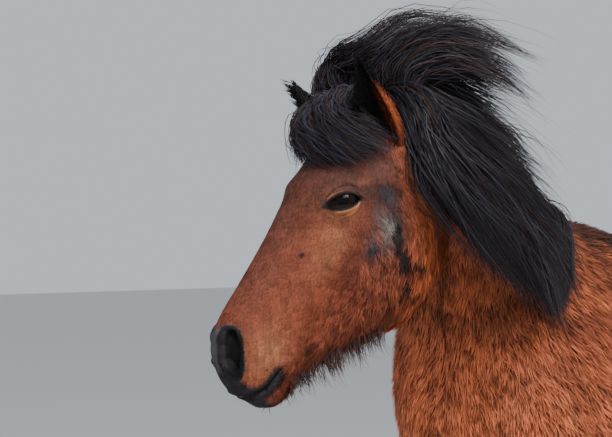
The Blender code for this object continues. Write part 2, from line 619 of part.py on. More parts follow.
def parts_of(obj):
    """Each separate closed surface of the object as a list of its face indices' points."""
    bm = bmesh.new()
    bm.from_mesh(obj.data)
    bm.faces.ensure_lookup_table()
    seen, groups = set(), []
    for face in bm.faces:
        if face.index in seen:
            continue
        stack, group = [face], []
        seen.add(face.index)
        while stack:
            here = stack.pop()
            group.append(here)
            for edge in here.edges:
                if len(edge.link_faces) != 2:
                    continue
                for other in edge.link_faces:
                    if other.index not in seen:
                        seen.add(other.index)
                        stack.append(other)
        groups.append(group)
    pieces = []
    for group in groups:
        index, points, faces = {}, [], []
        for face in group:
            corners = []
            for vertex in face.verts:
                if vertex.index not in index:
                    index[vertex.index] = len(points)
                    points.append(tuple(vertex.co))
                corners.append(index[vertex.index])
            faces.append(corners)
        pieces.append((points, faces))
    bm.free()
    return pieces


def largest_only(obj):
    """Keeps the object's largest closed surface."""
    points, faces = max(parts_of(obj), key=lambda piece: np.ptp(np.array(piece[0]), axis=0).prod())
    data = bpy.data.meshes.new(obj.name)
    data.from_pydata(points, [], faces)
    obj.data = data
    return obj


def grown(obj, name, by):
    """A copy of the object, larger all round by the given distance."""
    copy = add_object(name, obj.data.copy())
    moved = np.empty(len(copy.data.vertices) * 3)
    copy.data.vertices.foreach_get("co", moved)
    normals = np.empty_like(moved)
    copy.data.vertices.foreach_get("normal", normals)
    copy.data.vertices.foreach_set("co", moved + by * normals)
    copy.data.update()
    return copy


def body_object():
    """Trunk, neck and legs as one smooth skin, with the soles flat on the floor."""
    pieces = [loft("trunk", trunk_rings(60, 40))]
    for name, side in (("left", -1), ("right", 1)):
        fore = leg_rings(FORELEG, side, STRIDE["fore_" + name], STRIDE_FROM["fore"], 48, 20)
        hind = leg_rings(HINDLEG, side, STRIDE["hind_" + name], STRIDE_FROM["hind"], 48, 20)
        pieces.append(loft("foreleg_" + name, fore))
        pieces.append(loft("hindleg_" + name, hind))
    body = joined(pieces, "body")
    remesh = body.modifiers.new("one_skin", "REMESH")
    remesh.mode = "VOXEL"
    remesh.voxel_size = BODY_VOXEL
    soften = body.modifiers.new("soften", "SMOOTH")
    soften.factor = 0.5
    soften.iterations = BODY_SMOOTHING
    apply_modifiers(body)
    return thinned(body, BODY_TRIANGLES)


def hoof_rings(table, side, stride, stride_from):
    """A hoof: the lowest rings of its leg, closed by a flat sole."""
    rows = np.array([row[1:] for row in table if row[1] <= CORONET], float)
    rows = smooth(rows[::-1, 0], rows[::-1], np.linspace(0.0, CORONET - GAP, 4))
    angles = np.linspace(0, 2 * math.pi, 20, endpoint=False)
    rings = []
    for z, x, depth, y, width in rows:
        reach = stride * max(0.0, stride_from - z) / stride_from
        heel = np.where(np.cos(angles) > 0, 0.82, 1.0)
        ring = np.empty((len(angles), 3))
        ring[:, 0] = x + reach + depth * heel * power(np.cos(angles), 2.1)
        ring[:, 1] = side * (y + width * power(np.sin(angles), 2.1))
        ring[:, 2] = z
        rings.append(ring)
    return rings


def resampled(path, count):
    """Points at even steps on a smooth curve through the path."""
    path = np.asarray(path, float)
    fine = smooth(np.arange(len(path)), path, np.linspace(0, len(path) - 1, 40))
    run = np.concatenate([[0], np.cumsum(np.linalg.norm(np.diff(fine, axis=0), axis=1))])
    return np.stack([np.interp(np.linspace(0, run[-1], count), run, fine[:, k]) for k in range(3)], axis=1)


def kept_out(path, skins, clear):
    """Moves the path's points past the root out of the flesh, at least the given distance clear of it."""
    moved = [Vector(p) for p in path]
    for _ in range(2):
        for i in range(1, len(moved)):
            for skin in skins:
                spot, normal, _, distance = skin.find_nearest(moved[i])
                height = (moved[i] - spot).dot(normal)
                need = clear[min(i, len(clear) - 1)]
                if height < need and distance < 0.2:
                    moved[i] = moved[i] + normal * (need - height)
    return np.array([tuple(p) for p in moved])


def lock(name, path, width, thick, facing):
    """A flat lock of hair with a ridge: widest a third of the way along its path, and drawn out to a point."""
    path = np.asarray(path, float)
    count, sides = len(path) - 1, len(LOCK_SECTION)
    rings = []
    for i in range(count):
        t = i / count
        ahead = path[i + 1] - path[max(i - 1, 0)]
        ahead /= np.linalg.norm(ahead)
        across = np.cross(ahead, facing)
        across /= np.linalg.norm(across)
        out = np.cross(across, ahead)
        wide = width * (0.55 + 0.9 * t if t < 0.4 else 0.91 - 0.8 * (t - 0.4) ** 1.2 / 0.6**1.2) / 0.91
        deep = thick * (1 - 0.75 * t)
        rings.append([path[i] + across * x * wide / 2 + out * y * deep / 2 for x, y in LOCK_SECTION])
    points = [p for ring in rings for p in ring] + [path[-1]]
    faces = [tuple(range(sides))]
    for i in range(count - 1):
        for j in range(sides):
            k = (j + 1) % sides
            faces.append((i * sides + j, i * sides + k, (i + 1) * sides + k, (i + 1) * sides + j))
    for j in range(sides):
        faces.append((count * sides, (count - 1) * sides + j, (count - 1) * sides + (j + 1) % sides))
    return mesh_object(name, points, faces)


def blown(root, offsets, scale):
    """A path from a root along offsets written as distances with the wind, upwards and across the wind."""
    wind = np.array(WIND)
    up = np.array((0, 0, 1.0))
    across = np.array((WIND[1], -WIND[0], 0))
    path = [np.asarray(root, float)]
    for along, rise, aside in offsets:
        path.append(path[0] + scale * (along * wind + rise * up + aside * across))
    return np.array(path)


def mixed(low, high, share):
    return [tuple(a + (b - a) * share for a, b in zip(p, q)) for p, q in zip(low, high)]


def crest_point(s):
    """A point on the top of the neck, from the poll at 0 to the withers at 1."""
    tops = np.array([(row[1], row[8], row[2]) for row in TRUNK[8:]])[::-1]
    return smooth(np.linspace(0, 1, len(tops)), tops, [s])[0]


def mane_paths(rng, count):
    """Paths of the mane: from the crest, either out with the wind or down the near side of the neck."""
    paths = []
    for i in range(count):
        s = (i + rng.uniform(0.2, 0.8)) / count
        layer = (i * 0.618 + rng.uniform(-0.08, 0.08)) % 1.0
        place = s * (len(MANE_FLOW) - 1)
        k = min(int(place), len(MANE_FLOW) - 2)
        levels = [mixed(MANE_FLOW[k][f], MANE_FLOW[k + 1][f], place - k) for f in range(3)]
        f = layer * 2
        flow = mixed(levels[int(f)], levels[int(f) + 1], f - int(f))
        flow = [tuple(value + rng.uniform(-0.008, 0.008) for value in step) for step in flow]
        root = crest_point(MANE_END * s) + np.array((0, -0.012 - 0.025 * layer, -0.016 - 0.02 * layer))
        paths.append(blown(root, flow, rng.uniform(0.90, 1.04)))
    return paths


def collected(objects, name):
    """Moves the objects into a collection of their own that isn't rendered."""
    group = bpy.data.collections.new(name)
    bpy.context.scene.collection.children.link(group)
    for obj in objects:
        bpy.context.scene.collection.objects.unlink(obj)
        group.objects.link(obj)
    return group


def drop_collection(group):
    for obj in list(group.objects):
        bpy.data.objects.remove(obj)
    bpy.data.collections.remove(group)


def corners_of(obj):
    """The lowest and highest corner of an object's own points."""
    points = np.array([vertex.co for vertex in obj.data.vertices])
    return points.min(axis=0), points.max(axis=0)


def kept_clear(locks, others):
    """Cuts the locks clear of the other objects, each a little further, so that no two cuts lie in one plane."""
    boxes = [corners_of(other) for other in others]
    for i, hair in enumerate(locks):
        for other, (low, high) in zip(others, boxes):
            if not len(hair.data.vertices):
                continue
            clear = 2 * GAP + i * CUT_STEP
            least, most = corners_of(hair)
            if (least < high + clear).all() and (most > low - clear).all():
                boolean(hair, grown(other, "room", clear), "DIFFERENCE", "MANIFOLD")
    kept = [hair for hair in locks if len(hair.data.polygons)]
    return [largest_only(hair) for hair in kept]


def grow_locks(node, locks, away_from=()):
    """Joins the locks to the node in one step, clear of the other objects, and keeps one closed surface."""
    group = collected(kept_clear(locks, away_from), node.name + "_locks")
    boolean(node, group, "UNION", "MANIFOLD", keep=True)
    drop_collection(group)
    return largest_only(node)


def copied(objects):
    return [add_object(obj.name + "_copy", obj.data.copy()) for obj in objects]


def skin_of(obj):
    bm = bmesh.new()
    bm.from_mesh(obj.data)
    tree = BVHTree.FromBMesh(bm)
    bm.free()
    return tree


def clear_scene():
    for obj in list(bpy.data.objects):
        bpy.data.objects.remove(obj)


def part_body(body):
    """Cuts the body with thin gaps and names its pieces by where they lie."""
    boolean(body, neck_blade(), "DIFFERENCE")
    for name, z, low, high in LEG_CUTS:
        boolean(body, box(name, (low, -0.5, z - GAP / 2), (high, 0.5, z + GAP / 2)), "DIFFERENCE")
    boolean(body, box("feet", (-1, -0.5, -0.5), (2, 0.5, CORONET)), "DIFFERENCE")
    pieces = parts_of(body)
    bpy.data.objects.remove(body)
    nodes = {}
    for points, faces in pieces:
        middle = np.mean(points, axis=0)
        low, high = np.min(points, axis=0), np.max(points, axis=0)
        side = "left" if middle[1] < 0 else "right"
        if high[0] - low[0] > 0.8:
            name = "torso"
        elif high[2] > 1.45:
            name = "neck"
        else:
            limb = "foreleg" if middle[0] < 0.3 else "hindleg"
            level = "upper" if high[2] > 0.65 else "lower"
            name = f"{limb}_{level}_{side}"
        if name in nodes:
            continue
        nodes[name] = mesh_object(name, points, faces)
    return nodes


def lock_of(kind, i, rng, path, facing):
    """One lock of a kind, in one of the named sizes."""
    size = LOCK_SIZES[rng.choice(sorted(LOCK_SIZES))]
    turned = np.array(facing, float) + np.array([rng.uniform(-0.3, 0.3) for _ in range(3)])
    return lock(f"{kind}_lock_{i}", path, LOCK_WIDTH[kind] * size, LOCK_THICK[kind] * size, turned)


def between(table, place):
    """The row of a table at a place from 0 to 1 along it, read between its rows."""
    place = place * (len(table) - 1)
    k = min(int(place), len(table) - 2)
    return np.array(mixed(table[k], table[k + 1], place - k))


def mane_locks(rng, skins):
    locks = []
    for i, path in enumerate(mane_paths(rng, LOCKS["mane"])):
        stand = rng.uniform(0.010, 0.026)
        path = kept_out(resampled(path, 5), skins, [0.0, stand, stand])
        locks.append(lock_of("mane", i, rng, path, (-0.5, -0.8, 0.5)))
    return locks


def top_locks(rng, skins):
    locks = []
    for i in range(LOCKS["top"]):
        place = (i + rng.uniform(0.2, 0.8)) / LOCKS["top"]
        root = from_head(between([[p] for p in TOP_ROOTS], place))[0]
        path = resampled(blown(root, between(TOP_FLOW, place), rng.uniform(0.84, 1.04)), 6)
        path = kept_out(path, skins, [0.0, 0.010, 0.012])
        locks.append(lock_of("top", i, rng, path, (-0.6, -0.7, 0.2)))
    return locks


def forelock_locks(rng, skins):
    locks = []
    facing = from_head([(0.0, 1.0, 0.3)])[0] - from_head([(0, 0, 0)])[0]
    for i in range(LOCKS["forelock"]):
        flow = between(FORELOCK_FLOW, (i + rng.uniform(0.2, 0.8)) / LOCKS["forelock"])
        flow[1:] += np.array([[rng.uniform(-0.006, 0.006) for _ in range(3)] for _ in flow[1:]])
        path = kept_out(resampled(from_head(flow), 6), skins, [0.0, 0.009, 0.009, 0.008, 0.005])
        locks.append(lock_of("forelock", i, rng, path, facing))
    return locks


def beard_locks(rng, skins):
    """Long hairs under the jaw, hanging straight down and a little with the wind."""
    locks = []
    facing = from_head([(0, 0, 1)])[0] - from_head([(0, 0, 0)])[0]
    for i in range(LOCKS["beard"]):
        u = BEARD_START + BEARD_REACH * (i + rng.uniform(0.1, 0.9)) / LOCKS["beard"]
        bottom = float(smooth([row[1] for row in HEAD], [row[3] for row in HEAD], [u])[0])
        w = (-1) ** i * rng.uniform(0.004, 0.022)
        root = from_head([(u, bottom + BEARD_ROOT, w)])[0]
        length = rng.uniform(0.75, 1.1) * BEARD_LENGTH["jaw" if u < BEARD_CHIN else "chin"]
        wind = np.array(WIND) * rng.uniform(0.1, 0.4)
        path = [root + length * t * (np.array((0, 0, -1.0)) + wind * t) for t in (0, 0.3, 0.65, 1.0)]
        locks.append(lock_of("beard", i, rng, path, facing))
    return locks


def feather_locks(rng, table, side, stride, stride_from):
    """The long hair behind one fetlock, hanging down and back over the heel."""
    locks = []
    rows = np.array([row[1:] for row in table], float)[::-1]
    for i in range(LOCKS["feather"]):
        z = FEATHER_TOP - 0.045 * rng.random()
        _, x, depth, y, width = smooth(rows[:, 0], rows, [z])[0]
        turn = math.radians(FEATHER_FAN_DEG * (2 * (i + rng.uniform(0.2, 0.8)) / LOCKS["feather"] - 1))
        reach = stride * (stride_from - z) / stride_from
        out = np.array((math.cos(turn), math.sin(turn), 0.0))
        root = np.array((x + reach, side * y, z)) + out * (depth, width, 0) * 0.72
        length = rng.uniform(*FEATHER_LENGTH)
        path = [root + out * length * a - np.array((0, 0, length * b)) for a, b in FEATHER_FLOW]
        low = min(length, z - CORONET - 0.010)
        path.append(root + out * length * 0.30 - np.array((0, 0, low)))
        locks.append(lock_of("feather", i, rng, path, out))
    return locks


def tail_object(rng, skins):
    """The dock with its long hair, from the top of the buttocks nearly to the fetlocks."""
    path = resampled(DOCK, 12)
    rings = []
    for i, middle in enumerate(path):
        t = i / (len(path) - 1)
        ahead = path[min(i + 1, len(path) - 1)] - path[max(i - 1, 0)]
        ahead /= np.linalg.norm(ahead)
        back = np.cross(ahead, (0, 1, 0))
        back /= np.linalg.norm(back)
        wide = float(np.interp(t, DOCK_PLACES, DOCK_WIDTH))
        deep = float(np.interp(t, DOCK_PLACES, DOCK_DEPTH))
        turns = np.linspace(0, 2 * math.pi, 12, endpoint=False)[:, None]
        rings.append(middle + wide * np.cos(turns) * np.array((0, 1, 0)) + deep * np.sin(turns) * back)
    tail = loft("tail", rings)
    locks = []
    for i in range(LOCKS["tail"]):
        turn = 2 * math.pi * i / LOCKS["tail"]
        spread = np.array((0.5 * math.sin(turn), math.cos(turn), 0))
        start = rng.uniform(*TAIL_ROOTS)
        root = path[int(start * (len(path) - 1))] + 0.012 * spread
        length = rng.uniform(*TAIL_LENGTH)
        steps = [root]
        for t in (0.25, 0.5, 0.75, 1.0):
            drop = root + np.array((TAIL_BLOWN[0] * t, TAIL_BLOWN[1] * t * t, -length * t))
            drop += spread * TAIL_BULGE * math.sin(2.2 * t)
            steps.append(drop + np.array([rng.uniform(-0.008, 0.008) for _ in range(3)]))
        path_out = kept_out(resampled(steps, 6), skins, [0.0, 0.012, 0.014])
        locks.append(lock_of("tail", i, rng, path_out, spread + np.array((0.2, 0, 0.1))))
    return tail, locks


def centre(objects):
    """Moves the objects along the floor until the middle of their common box is over the origin."""
    boxes = [np.array([vertex.co for vertex in obj.data.vertices]) for obj in objects]
    low = np.min([points.min(axis=0) for points in boxes], axis=0)
    high = np.max([points.max(axis=0) for points in boxes], axis=0)
    shift = -(low + high) / 2
    for obj, points in zip(objects, boxes):
        obj.data.vertices.foreach_set("co", (points + (shift[0], shift[1], 0)).reshape(-1))
        obj.data.update()


def finish(name, obj):
    """Gives a node its own material and its shading."""
    kind = next(kind for kind in NODE_FINISHES if name.startswith(kind))
    colour, roughness = FINISHES[NODE_FINISHES[kind]]
    material = bpy.data.materials.new(name + "_finish")
    material.use_nodes = True
    shader = material.node_tree.nodes["Principled BSDF"]
    shader.inputs["Base Color"].default_value = (*colour, 1.0)
    shader.inputs["Roughness"].default_value = roughness
    obj.data.materials.clear()
    obj.data.materials.append(material)
    obj.data.shade_smooth()
    obj.data.set_sharp_from_angle(angle=math.radians(SHARP_EDGE_DEG))


def main():
    clear_scene()
    body = body_object()
    whole = skin_of(body)
    nodes = part_body(body)
    head, level = head_object("head", 150, 132)
    thinned(head, HEAD_TRIANGLES)
    for name, side in (("left", 1), ("right", -1)):
        boolean(head, eye_object("socket", side, level, 9, 14, 2 * GAP), "DIFFERENCE")
        nodes["eye_" + name] = eye_object("eye_" + name, side, level, 9, 14)
    nodes["head"] = head
    boolean(nodes["neck"], grown(head, "head_room", GAP), "DIFFERENCE", "MANIFOLD")
    largest_only(nodes["neck"])
    for name, (base, tip, opening) in EARS.items():
        ear = ear_object("ear_" + name, base, tip, opening, 16)
        boolean(ear, grown(head, "head_room", GAP), "DIFFERENCE", "MANIFOLD")
        largest_only(ear)
        nodes["ear_" + name] = ear
    for limb, table in (("fore", FORELEG), ("hind", HINDLEG)):
        for name, side in (("left", -1), ("right", 1)):
            key = f"{limb}_{name}"
            rings = hoof_rings(table, side, STRIDE[key], STRIDE_FROM[limb])
            nodes["hoof_" + key] = loft("hoof_" + key, rings)
    skins = [whole, skin_of(head)]
    ears = [nodes["ear_left"], nodes["ear_right"]]
    rng = random.Random(SEEDS["head"])
    crown = top_locks(rng, skins) + forelock_locks(rng, skins) + beard_locks(rng, skins)
    crown = kept_clear(crown, ears + [nodes["neck"]])
    around = copied([head] + crown)
    grow_locks(head, crown)
    mane = mane_locks(random.Random(SEEDS["neck"]), skins)
    grow_locks(nodes["neck"], mane, ears + around + [nodes["torso"]])
    for other in around:
        bpy.data.objects.remove(other)
    nodes["tail"], tail_hair = tail_object(random.Random(SEEDS["tail"]), skins[:1])
    boolean(nodes["tail"], grown(nodes["torso"], "torso_room", GAP), "DIFFERENCE", "MANIFOLD")
    grow_locks(nodes["tail"], tail_hair, [nodes["torso"]])
    rng = random.Random(SEEDS["feather"])
    for limb, table in (("fore", FORELEG), ("hind", HINDLEG)):
        for name, side in (("left", -1), ("right", 1)):
            key = f"{limb}_{name}"
            feather = feather_locks(rng, table, side, STRIDE[key], STRIDE_FROM[limb])
            grow_locks(nodes[f"{limb}leg_lower_{name}"], feather)
    centre(nodes.values())
    for name, node in nodes.items():
        finish(name, node)


main()
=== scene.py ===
"""The looks of a life-size standing model of an Icelandic horse in its winter coat: one skin with a sculpted
head, eyes, ears, a coat of small tufts, and long blown strands for mane, forelock, beard and tail."""

import math
from collections import namedtuple

import bmesh
import bpy
import numpy as np
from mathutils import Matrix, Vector
from mathutils.bvhtree import BVHTree


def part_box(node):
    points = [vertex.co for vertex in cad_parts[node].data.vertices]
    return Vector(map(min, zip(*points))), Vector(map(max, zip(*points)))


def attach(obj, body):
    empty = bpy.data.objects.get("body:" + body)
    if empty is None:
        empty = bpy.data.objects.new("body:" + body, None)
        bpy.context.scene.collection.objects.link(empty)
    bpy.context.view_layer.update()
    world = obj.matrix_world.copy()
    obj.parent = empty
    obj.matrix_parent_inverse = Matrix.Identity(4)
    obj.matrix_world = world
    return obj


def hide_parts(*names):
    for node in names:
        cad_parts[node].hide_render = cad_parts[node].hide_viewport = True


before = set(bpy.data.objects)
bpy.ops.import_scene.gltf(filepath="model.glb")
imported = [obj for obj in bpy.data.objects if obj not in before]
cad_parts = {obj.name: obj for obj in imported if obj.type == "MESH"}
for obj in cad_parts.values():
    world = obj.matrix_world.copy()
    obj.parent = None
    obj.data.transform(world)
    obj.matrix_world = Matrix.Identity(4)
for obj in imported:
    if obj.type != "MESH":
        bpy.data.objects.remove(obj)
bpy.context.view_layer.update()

def srgb(red, green, blue):
    """A colour given as 0 to 255 values, as linear light."""
    value = np.array((red, green, blue)) / 255.0
    return np.where(value <= 0.04045, value / 12.92, ((value + 0.055) / 1.055) ** 2.4)


# Stations are written from a point on the floor straight below the withers, as in the part's source.
# SHIFT moves what is built from them into the frame, by the outer front corner of the left fore hoof.
HOOF_CORNER = (-0.247, -0.198)
SHIFT = np.array(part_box("hoof_fore_left")[0]) - np.array((*HOOF_CORNER, 0.0))

FACES_HEADING_DEG = 180.0
HEAD_TURN_DEG = 26.0
HEAD_PITCH_DEG = 61.0
HEAD_ORIGIN = np.array((-0.640, 0.031, 1.614))
UP = np.array((0.0, 0.0, 1.0))
# A path in the wind is written as distances with it, upwards and across it.
WIND = np.array((0.695, -0.719, 0.0))
WIND_AXES = np.array((WIND, UP, (WIND[1], -WIND[0], 0.0)))
STRIDE = {"fore_left": 0.030, "fore_right": -0.045, "hind_left": -0.050, "hind_right": 0.040}
STRIDE_FROM = {"fore": 0.78, "hind": 0.86}
# Trunk and neck, from the buttocks to the poll: the top and bottom point of each ring in side view, half
# its width, how far its widest level lies below the middle, how square it is, and how far the neck bends
# aside.
TRUNK = (
    # name, top x, top z, bottom x, bottom z, half width, pear, square, aside
    ("seat", 1.000, 1.165, 1.008, 1.030, 0.070, 0.00, 2.0, 0.000),
    ("dock", 0.955, 1.232, 0.975, 0.930, 0.150, 0.02, 2.1, 0.000),
    ("rump", 0.860, 1.300, 0.870, 0.840, 0.215, 0.00, 2.2, 0.000),
    ("croup", 0.700, 1.345, 0.700, 0.775, 0.252, -0.02, 2.3, 0.000),
    ("loin", 0.540, 1.345, 0.530, 0.735, 0.265, 0.04, 2.3, 0.000),
    ("back", 0.380, 1.332, 0.370, 0.700, 0.283, 0.10, 2.2, 0.000),
    ("barrel", 0.230, 1.336, 0.220, 0.690, 0.282, 0.12, 2.2, 0.000),
    ("girth", 0.100, 1.358, 0.070, 0.702, 0.252, 0.16, 2.15, 0.000),
    ("withers", -0.010, 1.380, -0.070, 0.730, 0.224, 0.20, 2.1, 0.000),
    ("shoulder", -0.100, 1.390, -0.215, 0.785, 0.212, 0.22, 2.1, 0.000),
    ("breast", -0.185, 1.410, -0.375, 0.880, 0.195, 0.18, 2.1, 0.000),
    ("neck_base", -0.265, 1.447, -0.435, 1.000, 0.162, 0.16, 2.1, -0.003),
    ("neck_low", -0.345, 1.487, -0.436, 1.120, 0.132, 0.16, 2.1, -0.008),
    ("neck_middle", -0.420, 1.525, -0.445, 1.225, 0.116, 0.16, 2.1, -0.008),
    ("neck_high", -0.490, 1.562, -0.475, 1.305, 0.104, 0.12, 2.1, 0.000),
    ("nape", -0.552, 1.592, -0.515, 1.370, 0.092, 0.08, 2.1, 0.010),
    ("poll", -0.600, 1.600, -0.545, 1.430, 0.074, 0.02, 2.0, 0.020),
)
# Legs: height, middle of the ring along the body, half its depth along the body, middle and half width
# across.
FORELEG = (
    # name, z, x, half depth, y, half width
    ("shoulder", 1.020, -0.237, 0.120, 0.100, 0.080),
    ("arm", 0.900, -0.192, 0.140, 0.115, 0.092),
    ("elbow", 0.790, -0.155, 0.122, 0.128, 0.088),
    ("upper_forearm", 0.700, -0.141, 0.090, 0.137, 0.070),
    ("forearm", 0.600, -0.147, 0.067, 0.140, 0.056),
    ("lower_forearm", 0.510, -0.153, 0.050, 0.140, 0.046),
    ("above_knee", 0.450, -0.155, 0.044, 0.140, 0.043),
    ("knee", 0.405, -0.160, 0.047, 0.140, 0.047),
    ("below_knee", 0.350, -0.153, 0.041, 0.140, 0.038),
    ("cannon", 0.280, -0.151, 0.035, 0.140, 0.031),
    ("lower_cannon", 0.200, -0.153, 0.034, 0.140, 0.031),
    ("fetlock", 0.150, -0.158, 0.041, 0.140, 0.038),
    ("pastern", 0.105, -0.174, 0.035, 0.140, 0.035),
    ("coronet", 0.066, -0.193, 0.046, 0.140, 0.047),
    ("hoof_wall", 0.030, -0.205, 0.055, 0.140, 0.053),
    ("ground", 0.000, -0.215, 0.062, 0.140, 0.058),
)
HINDLEG = (
    ("hip", 1.160, 0.800, 0.145, 0.100, 0.095),
    ("thigh_top", 1.050, 0.815, 0.185, 0.115, 0.112),
    ("thigh", 0.950, 0.815, 0.198, 0.125, 0.116),
    ("stifle", 0.850, 0.795, 0.175, 0.133, 0.104),
    ("gaskin_top", 0.760, 0.815, 0.130, 0.139, 0.082),
    ("gaskin", 0.680, 0.855, 0.092, 0.142, 0.063),
    ("above_hock", 0.600, 0.905, 0.067, 0.142, 0.050),
    ("hock", 0.540, 0.942, 0.063, 0.142, 0.045),
    ("below_hock", 0.470, 0.955, 0.050, 0.142, 0.041),
    ("cannon", 0.380, 0.952, 0.039, 0.142, 0.034),
    ("middle_cannon", 0.290, 0.948, 0.035, 0.142, 0.032),
    ("lower_cannon", 0.210, 0.945, 0.036, 0.142, 0.032),
    ("fetlock", 0.155, 0.940, 0.042, 0.142, 0.039),
    ("pastern", 0.108, 0.922, 0.036, 0.142, 0.035),
    ("coronet", 0.066, 0.903, 0.045, 0.142, 0.046),
    ("hoof_wall", 0.030, 0.893, 0.053, 0.142, 0.051),
    ("ground", 0.000, 0.885, 0.060, 0.142, 0.055),
)
CORONET = 0.066
LEG_SQUARE = 2.2
# The first row of the trunk's table that is on the crest, and the x that parts the neck's coat from the
# body's.
CREST_FROM = 8
NECK_ENDS = -0.10

# The head in its own frame: u runs from the poll to the lips, v is out of the face and w to the horse's
# left. Each ring has its top and bottom v, and half its width near the top, at the brow, at the cheek and
# at the jaw.
HEAD = (
    # name, u, top v, bottom v, crown, brow, cheek, jaw
    ("nape_end", -0.030, -0.120, -0.195, 0.020, 0.036, 0.036, 0.022),
    ("poll", 0.000, -0.066, -0.218, 0.036, 0.064, 0.064, 0.040),
    ("ears", 0.045, -0.030, -0.235, 0.047, 0.077, 0.075, 0.048),
    ("temple", 0.100, -0.012, -0.260, 0.054, 0.087, 0.084, 0.052),
    ("brow", 0.155, -0.004, -0.281, 0.060, 0.094, 0.090, 0.054),
    ("eye", 0.205, 0.000, -0.292, 0.060, 0.096, 0.091, 0.054),
    ("under_eye", 0.250, -0.001, -0.292, 0.048, 0.083, 0.088, 0.050),
    ("cheek", 0.300, -0.002, -0.275, 0.040, 0.068, 0.078, 0.045),
    ("middle_nose", 0.350, -0.001, -0.240, 0.036, 0.056, 0.065, 0.040),
    ("nose", 0.400, 0.001, -0.202, 0.033, 0.048, 0.055, 0.037),
    ("lower_nose", 0.440, 0.002, -0.172, 0.033, 0.048, 0.050, 0.034),
    ("nostril", 0.475, -0.004, -0.152, 0.034, 0.051, 0.048, 0.032),
    ("upper_lip", 0.505, -0.022, -0.147, 0.034, 0.050, 0.045, 0.033),
    ("lips", 0.527, -0.045, -0.140, 0.030, 0.043, 0.039, 0.029),
    ("lip_end", 0.540, -0.068, -0.122, 0.016, 0.025, 0.023, 0.014),
)
HEAD_LEVELS = (0.0, 0.08, 0.25, 0.55, 0.85, 1.0)
# Muscles and bones that show on each side of the head: middle u and v, reach along and across, angle,
# height.
RELIEF = (
    ("brow_ridge", 0.193, -0.022, 0.034, 0.013, 40, 0.0075),
    ("temple_hollow", 0.148, -0.050, 0.018, 0.016, 30, -0.0060),
    ("jaw_joint", 0.125, -0.105, 0.024, 0.020, 0, 0.0040),
    ("cheek_muscle", 0.205, -0.200, 0.070, 0.058, 20, 0.0085),
    ("cheek_edge", 0.275, -0.150, 0.014, 0.060, 20, -0.0030),
    ("face_crest", 0.300, -0.098, 0.062, 0.009, -8, 0.0050),
    ("crest_hollow", 0.370, -0.060, 0.050, 0.016, -6, -0.0035),
    ("under_crest", 0.365, -0.135, 0.045, 0.022, -20, -0.0045),
    ("nostril_flare", 0.482, -0.034, 0.028, 0.022, -50, 0.0060),
    ("lip_swell", 0.505, -0.085, 0.020, 0.018, 0, 0.0040),
    ("chin", 0.512, -0.136, 0.016, 0.012, 0, 0.0040),
)
# The eye in the head's frame: its middle, the way the slit runs and the way it faces; half the opening's
# length and its height above and below the slit; and the ball's three radii and how deep its middle lies.
EYE_MIDDLE = (0.2080, -0.0605)
EYE_SLANT = (0.65, 0.76)
EYE_FACES = (0.16, 0.30, 0.94)
EYE_OPENING = (0.0255, 0.0104, 0.0088)
EYE_LEAN = 0.28
LENS_SHAPE = 0.75
EYEBALL = (0.0280, 0.0240, 0.0230)
EYE_DEPTH = 0.0215
IRIS = (0.017, 0.015)
PUPIL = (0.0095, 0.0055)
LID = 0.0034
LID_EDGE = 0.0015
UPPER_LID = 1.3
LID_BARE = (0.0350, 0.0190, 0.0175)
# Folds of the lids: depth, half width, side of the slit, and where along the slit they end and are full.
LID_FOLDS = (
    ("crease", 0.0036, 0.0024, 1, 0.036, 0.028),
    ("second_crease", 0.0010, 0.0014, 1, 0.028, 0.020),
    ("under_fold", 0.0018, 0.0022, -1, 0.030, 0.020),
)
UNDER_FOLD = 0.0215
# The nostril and the mouth are lines on the side of the head, with hollows and swellings along them.
NOSTRIL = ((0.464, -0.016), (0.480, -0.024), (0.496, -0.034), (0.506, -0.044))
NOSTRIL_WIDTH = (0.0050, 0.0105, 0.0095, 0.0045)
NOSTRIL_DEPTH = 0.012
NOSTRIL_RIM = 0.0030
NOSTRIL_DARK = ((0.466, -0.020), (0.482, -0.030), (0.500, -0.041), (0.514, -0.050))
MOUTH = ((0.545, -0.080), (0.530, -0.092), (0.512, -0.104), (0.490, -0.111), (0.465, -0.116))
MOUTH_DEPTH = 0.0050
MOUTH_WIDTH = 0.0036
LIP_SWELL = 0.0018
LIP_AWAY = 0.0075
LIP_WIDTH = 0.0040
# Where the head's mesh is finer, to carry relief: middle, reach and how many times each edge is cut.
FINE_PLACES = ((EYE_MIDDLE, 0.045, 2), ((0.495, -0.075), 0.075, 1))

# Ears in the head's frame: the middle of the foot, the tip, and the way the cup opens.
EARS = {
    "left": ((0.085, -0.085, 0.070), (0.006, 0.026, 0.098), (0.35, 0.55, 0.76)),
    "right": ((0.085, -0.070, -0.066), (0.040, 0.055, -0.100), (0.45, 0.60, -0.66)),
}
EAR_WIDTH = (0.024, 0.033, 0.035, 0.031, 0.022, 0.010, 0.002)
EAR_CUP = (0.10, 0.45, 0.62, 0.60, 0.52, 0.40, 0.20)
EAR_RINGS = 13

